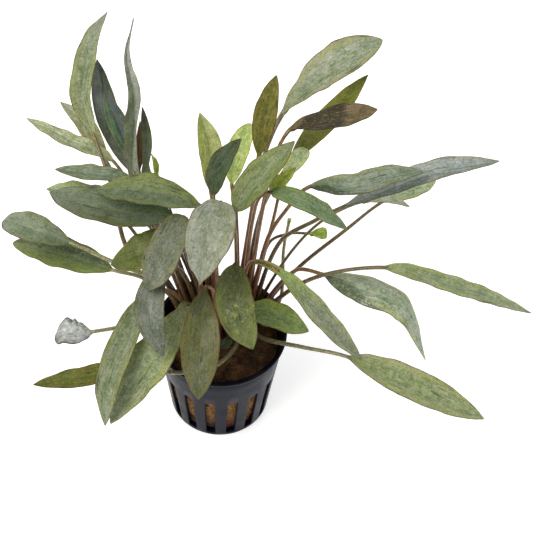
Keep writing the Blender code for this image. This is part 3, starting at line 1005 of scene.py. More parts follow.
        def place(u: float, v: float) -> Vector:
            """Where a corner of the blank goes: round the stalk, or under the blade along the midrib.

            Args:
                u: The share of the way round.
                v: Along, 0 in the medium and 1 at the end of the midrib.

            Returns:
                The point, in millimetres.
            """
            row = round(v * (steps + 1))
            if row == 0:
                middle, side, up = stem[0]
                middle = middle - Vector((0.0, 0.0, ROOT_LEVEL - FOOT_LEVEL))
                radius = foot
            elif row <= self.stalk_rows + 1:
                share = (row - 1) / self.stalk_rows
                middle, side, up = stem[row - 1]
                radius = foot + (waist - foot) * eased(0.0, 0.35, share)
                radius += (neck - waist) * eased(0.35, 1.0, share)
            else:
                share = (row - 1 - self.stalk_rows) / self.rib_rows * self.rib_reach
                spot = share * self.along
                low = min(int(spot), self.along - 1)
                one, two = rib[low], rib[low + 1]
                middle = one[0].lerp(two[0], spot - low)
                side, up = one[1], one[2]
                radius = neck + (self.rib_end - neck) * share**0.7
                middle = middle - up * (self.groove + 0.2 + 0.75 * radius)
            turn = tau * u
            broad, deep = self.oval
            swell = 1 + 0.10 * wander(row / 5.0, self.seed)
            return middle + (side * cos(turn) * broad + up * sin(turn) * deep) * radius * swell * thin

        lay(piece, place)
        edit_all(piece, merge_doubles, lambda: bpy.ops.mesh.select_non_manifold(extend=False))
        edit_all(piece, lambda: bpy.ops.mesh.fill_holes(sides=self.around), mend_normals)
        finish_piece(piece, f"leaf_{self.name}", material)

    def make_sheath(self, line: MidLine, material: Finish) -> None:
        """Models the dry sheath, an open curl round the foot of the stalk with a torn slanting top.

        Args:
            line: The leaf's line.
            material: The sheath's finish.
        """
        piece = blank(f"leaf_{self.name}_sheath", *self.sheath_cells)
        reach = self.sheath / line.length(0, line.neck)
        stem = line.frames(0, line.neck, self.fine_steps)

        def place(u: float, v: float) -> Vector:
            """Where a corner of the blank goes: round the foot of the stalk, less high at both edges.

            Args:
                u: Round the stalk, from edge to edge.
                v: Up, 0 in the medium and 1 at the torn top.

            Returns:
                The point, in millimetres.
            """
            tall = 1 - 0.55 * (2 * u - 1) ** 2 + 0.12 * wander(u * 6.0, self.seed)
            middle, side, up = stem[round(v * tall * reach * self.fine_steps)]
            if v == 0.0:
                middle = middle - Vector((0.0, 0.0, ROOT_LEVEL - FOOT_LEVEL))
            turn = self.seed + self.sheath_turn * (u - 0.5)
            radius = self.stalk_radii[0] + 0.12 + 0.35 * (2 * u - 1) ** 2 * (0.4 + v)
            radius += 0.12 * wander(u * 5.0, v * 2.0, self.seed)
            return middle + (side * cos(turn) + up * sin(turn)) * radius

        lay(piece, place)
        edit_all(piece, mend_normals)
        apply_modifier(piece, "thickness", "SOLIDIFY", thickness=self.sheath_thickness * MM, offset=1.0)
        apply_modifier(piece, "rounding", "SUBSURF", levels=1, render_levels=1)
        finish_piece(piece, None, material)


def seat_pattern(count: int) -> list[Vector]:
    """Places in a triangular pattern, the ones nearest to its middle.

    Args:
        count: How many places are wanted.

    Returns:
        Each place from the middle of the pattern, in millimetres.
    """
    reach = range(-4, 5)
    places = []
    for row in reach:
        for column in reach:
            across = (column + 0.5 * (row % 2)) * SEAT_STEP
            places.append(Vector((across, row * SEAT_STEP * sin(pi / 3), 0.0)))
    return sorted(places, key=lambda place: place.length)[:count]


def seats(leaves: Iterable[Leaf]) -> dict[str, Point]:
    """Where each leaf's stalk stands: those that lean the most stand furthest out, each on its own side.

    Args:
        leaves: All leaves.

    Returns:
        The foot of each stalk by the leaf's name, in millimetres.
    """
    found = {}
    for shoot in Shoot:
        centre = Vector((*shoot.value, ROOT_LEVEL))
        group = [leaf for leaf in leaves if leaf.shoot is shoot]
        leans = []
        for leaf in group:
            way = Vector(leaf.stalk[0]) - centre
            leans.append(Vector((way.x, way.y, 0.0)) / way.length)
        places = seat_pattern(len(group))
        swapped = True
        while swapped:
            swapped = False
            for one in range(len(group)):
                for other in range(one):
                    gain = (leans[one] - leans[other]).dot(places[other] - places[one])
                    if gain > 0.0001:
                        places[one], places[other] = places[other], places[one]
                        swapped = True
        for leaf, place in zip(group, places):
            found[leaf.name] = tuple(centre + place)
    return found


@dataclass
class Pot:
    """The nursery pot: a thin turned wall with a rolled lip, tall slots all round, and a slotted floor.

    Attributes:
        plastic: Its finish.
        shaded_lip_plastic: The finish of its lip, the same plastic painted darker as shade.
        base_radius: The wall's outer radius at the table, in millimetres.
        top_radius: The same at the top.
        rim_radius: The lip's outer radius.
        wall: The wall's thickness.
        lip: The lip's height.
        slots: How many slots go round the wall.
        columns: Columns of cells from one slot to the next.
        slot_columns: How many of those columns are open.
        slot_turn: Where the middle of the first slot is, in degrees from -Y towards +X.
        slot_low: The height of the bottom of the slots, in millimetres.
        slot_high: The height of their top.
        floor: The floor's thickness.
        drains: How many slots the floor has.
        drain_width: How wide each of them is.
        drain_reach: How far from the middle each starts and ends.
        soft_edge: How far the wall's edges are rounded.
        soft_floor_edge: The same for the floor.
        lip_steps: Corners round the lip.
        floor_steps: Corners round the floor.
    """

    plastic: PotPlastic
    shaded_lip_plastic: PotPlastic
    base_radius: float = 21.1
    top_radius: float = 26.7
    rim_radius: float = 27.5
    wall: float = 1.2
    lip: float = 1.8
    slots: int = 16
    columns: int = 11
    slot_columns: int = 5
    slot_turn: float = 16.2
    slot_low: float = 2.0
    slot_high: float = 30.2
    floor: float = 1.5
    drains: int = 7
    drain_width: float = 3.0
    drain_reach: tuple[float, float] = (8.0, 17.0)
    soft_edge: float = 0.22
    soft_floor_edge: float = 0.15
    lip_steps: int = 128
    floor_steps: int = 96

    def radius(self, height: float) -> float:
        """The wall's outer radius at this height, in millimetres."""
        return self.base_radius + (self.top_radius - self.base_radius) * height / POT_HEIGHT

    def ring(self, name: str, profile: list[tuple[float, float]], steps: int, turn: float) -> Piece:
        """Rolls a blank to a wall round the pot's axis.

        Args:
            name: The piece's name.
            profile: (radius, height) of each ring of corners, in millimetres.
            steps: Cells round the wall.
            turn: The first corner's angle from -Y towards +X, in radians.

        Returns:
            The wall, one face thick.
        """
        piece = blank(name, steps, len(profile) - 1)

        def place(u: float, v: float) -> Vector:
            """Where a corner of the blank goes: round the axis, at its ring's radius and height.

            Args:
                u: The share of the way round.
                v: The share of the way along the profile.

            Returns:
                The point, in millimetres.
            """
            radius, height = profile[round(v * (len(profile) - 1))]
            angle = turn + tau * u
            return Vector((sin(angle) * radius, -cos(angle) * radius, height))

        lay(piece, place)
        edit_all(piece, merge_doubles)
        return piece

    def make_wall(self, material: Finish) -> None:
        """Models the wall, opens its slots, and gives it thickness and softened edges.

        Args:
            material: The pot's finish.
        """
        heights = [0.05, self.slot_low, 9.0, 16.0, 23.0, self.slot_high, 36.0, 42.0, POT_HEIGHT - self.lip]
        inset = self.wall / 2
        profile = [(self.radius(height) - inset, height) for height in heights]
        steps = self.slots * self.columns
        pitch = tau / steps
        turn = radians(self.slot_turn) - pitch * self.slot_columns / 2
        piece = self.ring("pot_wall", profile, steps, turn)
        make_active(piece)
        shape = bmesh.new()
        shape.from_mesh(piece.data)
        doomed = []
        for face in shape.faces:
            middle = face.calc_center_median() / MM
            angle = (atan2(middle.x, -middle.y) - turn) % tau
            column = int(angle / pitch) % self.columns
            if column < self.slot_columns and self.slot_low < middle.z < self.slot_high:
                doomed.append(face)
        bmesh.ops.delete(shape, geom=doomed, context="FACES")
        shape.to_mesh(piece.data)
        shape.free()
        edit_all(piece, mend_normals)
        settings = {"thickness": self.wall * MM, "offset": 0.0, "use_even_offset": True}
        apply_modifier(piece, "thickness", "SOLIDIFY", **settings)
        soften(piece, self.soft_edge)
        finish_piece(piece, "pot", material, 35.0)

    def make_lip(self, material: Finish) -> None:
        """Models the rolled lip, a closed ring on top of the wall.

        Args:
            material: The pot's finish.
        """
        low = POT_HEIGHT - self.lip
        inner = self.top_radius - self.wall - 0.05
        outer = self.rim_radius
        # The lip's section: up its inside, over the top, and down its outside to the wall.
        profile = [
            (inner, low - 0.3), (inner - 0.05, POT_HEIGHT - 0.7), (inner + 0.25, POT_HEIGHT - 0.15),
            (inner + 0.8, POT_HEIGHT), (outer - 0.5, POT_HEIGHT), (outer - 0.12, POT_HEIGHT - 0.2),
            (outer, POT_HEIGHT - 0.6), (outer, low + 0.5), (outer - 0.15, low + 0.12), (outer - 0.5, low),
            (self.radius(low) - 0.1, low - 0.05), (inner, low - 0.3),
        ]
        piece = self.ring("pot_lip", profile, self.lip_steps, 0.0)
        edit_all(piece, mend_normals)
        finish_piece(piece, "pot", material, 50.0)

    def make_floor(self, material: Finish) -> None:
        """Models the floor, a disc with drain slots along its radii.

        Args:
            material: The pot's finish.
        """
        outer = self.base_radius - self.wall - 0.05
        clear_selection()
        spot = (0.0, 0.0, (self.floor / 2 + 0.1) * MM)
        bpy.ops.mesh.primitive_cylinder_add(
            vertices=self.floor_steps, radius=outer * MM, depth=self.floor * MM, location=spot
        )
        piece = settled("pot_floor")
        near, far = self.drain_reach
        for number in range(self.drains):
            angle = tau * number / self.drains
            clear_selection()
            middle = (near + far) / 2 * MM
            bpy.ops.mesh.primitive_cube_add(
                size=1.0,
                location=(sin(angle) * middle, -cos(angle) * middle, self.floor / 2 * MM),
                rotation=(0.0, 0.0, angle),
                scale=(self.drain_width * MM, (far - near) * MM, 4 * self.floor * MM),
            )
            cutter = settled("drain_cutter")
            apply_modifier(piece, "drain", "BOOLEAN", operation="DIFFERENCE", solver="EXACT", object=cutter)
            bpy.data.objects.remove(cutter)
        soften(piece, self.soft_floor_edge)
        finish_piece(piece, "pot", material, 35.0)

    def make(self) -> None:
        """Models the whole pot."""
        material = self.plastic.make()
        self.make_wall(material)
        # The lip gets a darker copy of the plastic, which is painted shade.
        self.make_lip(self.shaded_lip_plastic.make())
        self.make_floor(material)


@dataclass
class Medium:
    """The stone wool plug: a lumpy block of matted fibre with loose fibres over its top and sides.

    Attributes:
        wool: The block's finish.
        fibre: The loose fibres' finish.
        pot: The pot that holds it.
        around: Cells round the block.
        rows: Cells from the middle of its top to the middle of its underside.
        clear: How far it stays off the wall, in millimetres.
        corner: How far its worn top edge droops.
        taper: How far it draws in at the bottom.
        highest: How far its relief stands out at most.
        bottom: The height of its underside.
        top_rows: The share of the rows that lie on its top.
        side_rows: The share that lie on its top and side.
        strands: How many loose fibres there are.
        strand_steps: In how many steps each bends.
        on_top: The share of them that lie on the top.
    """

    wool: StoneWool
    fibre: DrySheath
    pot: Pot
    around: int = 220
    rows: int = 130
    clear: float = 0.25
    corner: float = 2.2
    taper: float = 0.7
    highest: float = 0.12
    bottom: float = 2.0
    top_rows: float = 0.42
    side_rows: float = 0.88
    strands: int = 620
    strand_steps: int = 6
    on_top: float = 0.72

    def surface(self, turn: float, share: float) -> tuple[Vector, Vector]:
        """The plug's surface before its fibres are raised.

        Args:
            turn: The angle round it, in radians.
            share: 0 at the middle of the top, 1 at the middle of the underside.

        Returns:
            The point and the way out of the surface, in millimetres.
        """
        lean = Vector((sin(turn), -cos(turn), 0.0))
        if share < self.top_rows:
            part = share / self.top_rows
            radius = part * (self.pot.radius(PLUG_TOP) - self.pot.wall - self.clear)
            droop = self.corner * eased(0.72, 1.0, part) ** 1.5
            out = (Vector((0.0, 0.0, 1.0)) + lean * part**6).normalized()
            return lean * radius + Vector((0.0, 0.0, PLUG_TOP - droop)), out
        if share < self.side_rows:
            part = (share - self.top_rows) / (self.side_rows - self.top_rows)
            height = PLUG_TOP - self.corner + (self.bottom - PLUG_TOP + self.corner) * part
            radius = self.pot.radius(height) - self.pot.wall - self.clear
            radius -= self.taper * eased(0.72, 1.0, part)
            return lean * radius + Vector((0.0, 0.0, height)), lean
        part = (share - self.side_rows) / (1 - self.side_rows)
        radius = (self.pot.radius(self.bottom) - self.pot.wall - self.clear - self.taper) * (1 - part)
        return lean * radius + Vector((0.0, 0.0, self.bottom)), Vector((0.0, 0.0, -1.0))

    def make_plug(self) -> None:
        """Models the block, with clumps, pits and matted fibre pressed into its surface."""
        piece = blank("medium_plug", self.around, self.rows)

        def place(u: float, v: float) -> Vector:
            """Where a corner of the blank goes: to the surface, then in by its clumps, fibres and pits.

            Args:
                u: The share of the way round.
                v: 0 at the middle of the top, 1 at the middle of the underside.

            Returns:
                The point, in millimetres.
            """
            point, out = self.surface(tau * u, v)
            clump = noise.fractal(point / 5.2, 0.9, 2.1, 3)
            matted = noise.fractal(Vector((point.x / 1.5, point.y / 1.5, point.z / 0.8)), 0.7, 2.2, 4)
            ridge = abs(wander(point.x / 1.9, point.y / 1.9, point.z / 1.1 + 7.0))
            depth = 0.75 * clump + 0.42 * matted - 0.55 * ridge
            return point + out * min(depth, self.highest)

        lay(piece, place)
        edit_all(piece, merge_doubles, mend_normals)
        finish_piece(piece, "growing_medium", self.wool.make())

    def make_fibres(self) -> None:
        """Models the loose fibres: short thin strands that bend over the top and behind the slots."""
        chance = np.random.default_rng(11)
        shape = bmesh.new()
        for _ in range(self.strands):
            if chance.random() < self.on_top:
                share = self.top_rows * chance.random() ** 0.5
            else:
                share = chance.uniform(0.44, 0.8)
            point, out = self.surface(tau * chance.random(), share)
            across = out.orthogonal().normalized()
            across.rotate(Matrix.Rotation(chance.uniform(0.0, tau), 3, out))
            length = chance.uniform(2.5, 8.0)
            bend = out.cross(across) * chance.normal(0.0, 0.35) * length
            arch = out * chance.uniform(0.1, 0.55)
            radius = chance.uniform(0.06, 0.15)
            rings = []
            for step in range(self.strand_steps + 1):
                part = step / self.strand_steps
                middle = point + across * length * (part - 0.5) + bend * (part * part - part)
                middle += arch * sin(pi * part) - out * 0.25
                flat = Vector((middle.x, middle.y, 0.0))
                limit = self.pot.radius(middle.z) - self.pot.wall - 0.05
                if flat.length > limit:
                    middle -= flat * (1 - limit / flat.length)
                thin = radius * (1 - 0.6 * part)
                sides = [out, out.cross(across), -out, across.cross(out)]
                rings.append([shape.verts.new((middle + side * thin) * MM) for side in sides])
            for lower, upper in zip(rings, rings[1:]):
                for n in range(4):
                    shape.faces.new((lower[n], lower[n - 3], upper[n - 3], upper[n]))
            shape.faces.new(rings[0])
            shape.faces.new(rings[-1])
        bmesh.ops.recalc_face_normals(shape, faces=shape.faces)
        mesh = bpy.data.meshes.new("medium_fibres")
        shape.to_mesh(mesh)
        shape.free()
        piece = bpy.data.objects.new("medium_fibres", mesh)
        bpy.context.scene.collection.objects.link(piece)
        finish_piece(piece, "growing_medium", self.fibre.make())

    def make(self) -> None:
        """Models the whole plug."""
        self.make_plug()
        self.make_fibres()


@dataclass
class Crown:
    """The rootstock, and the cut stalk that is left of an old leaf.

    Attributes:
        bark: The rootstock's finish.
        stalk: The finish of the cut stalk.
        cut_stalk: Points of the cut stalk's line, in millimetres.
        rootstock: Points of the rootstock's line.
        steps: Cells along each of the two.
        rootstock_around: Cells round the rootstock.
        stalk_around: Cells round the cut stalk.
    """

    bark: DrySheath
    stalk: StalkSkin
    cut_stalk: tuple[Point, ...] = (
        (18.5, 4.5, 44.4), (18.5, 4.5, 48.0), (24.0, 12.0, 58.0), (24.0, 25.5, 72.0), (25.5, 27.5, 90.0),
    )
    rootstock: tuple[Point, ...] = (
        (-2.0, 5.0, 44.4), (-2.0, 5.0, 50.0), (-1.5, 6.0, 56.0), (-1.5, 7.0, 61.0),
    )
    steps: int = 60
    rootstock_around: int = 28
    stalk_around: int = 12

    def tube(
        self, name: str, points: tuple[Point, ...], radius: Callable[[float, float], float], around: int
    ) -> Piece:
        """Rolls a blank to a tube round a smooth line.

        Args:
            name: The piece's name.
            points: The line's points, in millimetres.
            radius: Gives the radius from the share of the way round and along.
            around: Cells round it.

        Returns:
            The closed tube, whose UV map is named stalk.
        """
        line = MidLine(list(points), 0)
        line.flat_side = Vector((1.0, 0.0, 0.0))
        frames = line.frames(0, len(points) - 1, self.steps)
        piece = blank(name, around, self.steps)
        piece.data.uv_layers[0].name = "stalk"

        def place(u: float, v: float) -> Vector:
            """Where a corner of the blank goes: round the line, with the first ring sunk into the medium.

            Args:
                u: The share of the way round.
                v: The share of the way along.

            Returns:
                The point, in millimetres.
            """
            middle, side, up = frames[round(v * self.steps)]
            sink = Vector((0.0, 0.0, ROOT_LEVEL - FOOT_LEVEL)) if v == 0.0 else Vector()
            return middle - sink + (side * cos(tau * u) + up * sin(tau * u)) * radius(u % 1.0, v)

        lay(piece, place)
        edit_all(piece, merge_doubles, lambda: bpy.ops.mesh.select_non_manifold(extend=False))
        edit_all(piece, lambda: bpy.ops.mesh.fill_holes(sides=around), mend_normals)
        return piece

    def make(self) -> None:
        """Models the rootstock and the cut stalk."""

        def bark(u: float, v: float) -> float:
            """The rootstock's radius, with the scars of old leaves as rings.

            Args:
                u: The share of the way round.
                v: The share of the way up.

            Returns:
                The radius, in millimetres.
            """
            rings = 0.16 * abs(sin(v * 26.0)) + 0.3 * wander(cos(tau * u) * 1.4, sin(tau * u) * 1.4, v * 7.0)
            return (2.1 - 1.1 * eased(0.55, 1.0, v)) + rings

        piece = self.tube("rootstock_bark", self.rootstock, bark, self.rootstock_around)
        finish_piece(piece, "rootstock", self.bark.make())

        def stem(u: float, v: float) -> float:
            """The cut stalk's radius, which swells a little at the dried cut.

            Args:
                u: The share of the way round.
                v: The share of the way up.

            Returns:
                The radius, in millimetres.
            """
            swell = 0.22 * eased(0.93, 1.0, v)
            return 0.72 - 0.08 * v + swell + 0.05 * wander(v * 30.0, cos(tau * u))

        piece = self.tube("cut_stalk_stem", self.cut_stalk, stem, self.stalk_around)
        finish_piece(piece, "cut_stalk", self.stalk.make(), 50.0)


@dataclass(frozen=True)
class Softbox:
    """A large square lamp with a cloth front, which faces the plant.

    Attributes:
        name: Its name.
        place: Where it stands, in millimetres.
        size: The side of its square, in metres.
        power: Its power in watts.
        colour: Its colour.
        aim: What it faces, in millimetres.
    """

    name: str
    place: Point
    size: float
    power: float
    colour: str
    aim: Point = (0.0, 0.0, 70.0)

    def make(self) -> None:
        """Adds the lamp and turns it to the plant."""
        lamp = bpy.data.lights.new(self.name, "AREA")
        lamp.shape = "SQUARE"
        lamp.size = self.size
        lamp.energy = self.power
        lamp.color = linear(self.colour)[:3]
        made = bpy.data.objects.new(self.name, lamp)
        bpy.context.scene.collection.objects.link(made)
        made.location = Vector(self.place) * MM
        way = Vector(self.aim) * MM - made.location
        made.rotation_euler = way.to_track_quat("-Z", "Y").to_euler()


@dataclass
class Studio:
    """The pale light table, the soft lamps and the camera.

    Attributes:
        table: The light table's finish.
        lamps: The soft lamps round the table.
        table_size: The side of the table, in metres.
        room: How bright the white room is.
        elevation: How high the camera looks down from, in degrees over the table.
        roll: How far the camera is turned on its own axis, in degrees.
        distance: How far it stands from what it looks at, in millimetres.
        target: What it looks at, in millimetres.
        lens: Its focal length, in millimetres.
        sensor: How wide its sensor is, in millimetres.
    """

    table: LightTable
    lamps: tuple[Softbox, ...] = (
        Softbox("key_softbox", (-650.0, -350.0, 1150.0), 1.0, 17.6, "#fffaf2"),
        Softbox("back_softbox", (350.0, 900.0, 900.0), 0.7, 4.0, "#f2f6ff"),
        Softbox("side_softbox", (1000.0, -300.0, 500.0), 0.6, 2.5, "#ffffff"),
    )
    table_size: float = 6.0
    room: float = 0.32
    elevation: float = 52.9
    roll: float = 3.3
    distance: float = 600.0
    target: Point = (17.4, 33.4, 50.0)
    lens: float = 95.13
    sensor: float = 36.0

    def make_floor(self) -> None:
        """Adds the light table, wide enough that its edge is out of the camera's view."""
        clear_selection()
        bpy.ops.mesh.primitive_plane_add(size=self.table_size, location=(0.0, 0.0, 0.0))
        floor = bpy.context.object
        floor.name = "light_table"
        floor.data.materials.append(self.table.make())

    def make_camera(self) -> None:
        """Adds the camera above and in front of the plant."""
        lens = bpy.data.cameras.new("camera")
        lens.lens = self.lens
        lens.sensor_width = self.sensor
        lens.clip_start = 0.01
        camera = bpy.data.objects.new("camera", lens)
        bpy.context.scene.collection.objects.link(camera)
        lift = radians(self.elevation)
        ahead = Vector((0.0, cos(lift), -sin(lift)))
        right = Vector((1.0, 0.0, 0.0))
        up = right.cross(ahead)
        roll = radians(self.roll)
        across = right * cos(roll) + up * sin(roll)
        top = up * cos(roll) - right * sin(roll)
        spot = (Vector(self.target) - ahead * self.distance) * MM
        turn = Matrix((across, top, -ahead)).transposed().to_4x4()
        camera.matrix_world = Matrix.Translation(spot) @ turn
        bpy.context.scene.camera = camera

    def make_sky(self) -> None:
        """Fills the room with even white light."""
        world = bpy.data.worlds.new("white_room")
        bpy.context.scene.world = world
        world.use_nodes = True
        sky = world.node_tree.nodes["Background"]
        sky.inputs["Color"].default_value = linear("#ffffff")
        sky.inputs["Strength"].default_value = self.room

    def make(self) -> None:
        """Sets up the whole studio."""
        self.make_sky()
        self.make_floor()
        for lamp in self.lamps:
            lamp.make()
        self.make_camera()
        settings = bpy.context.scene.view_settings
        settings.view_transform = "Standard"
        settings.look = "None"


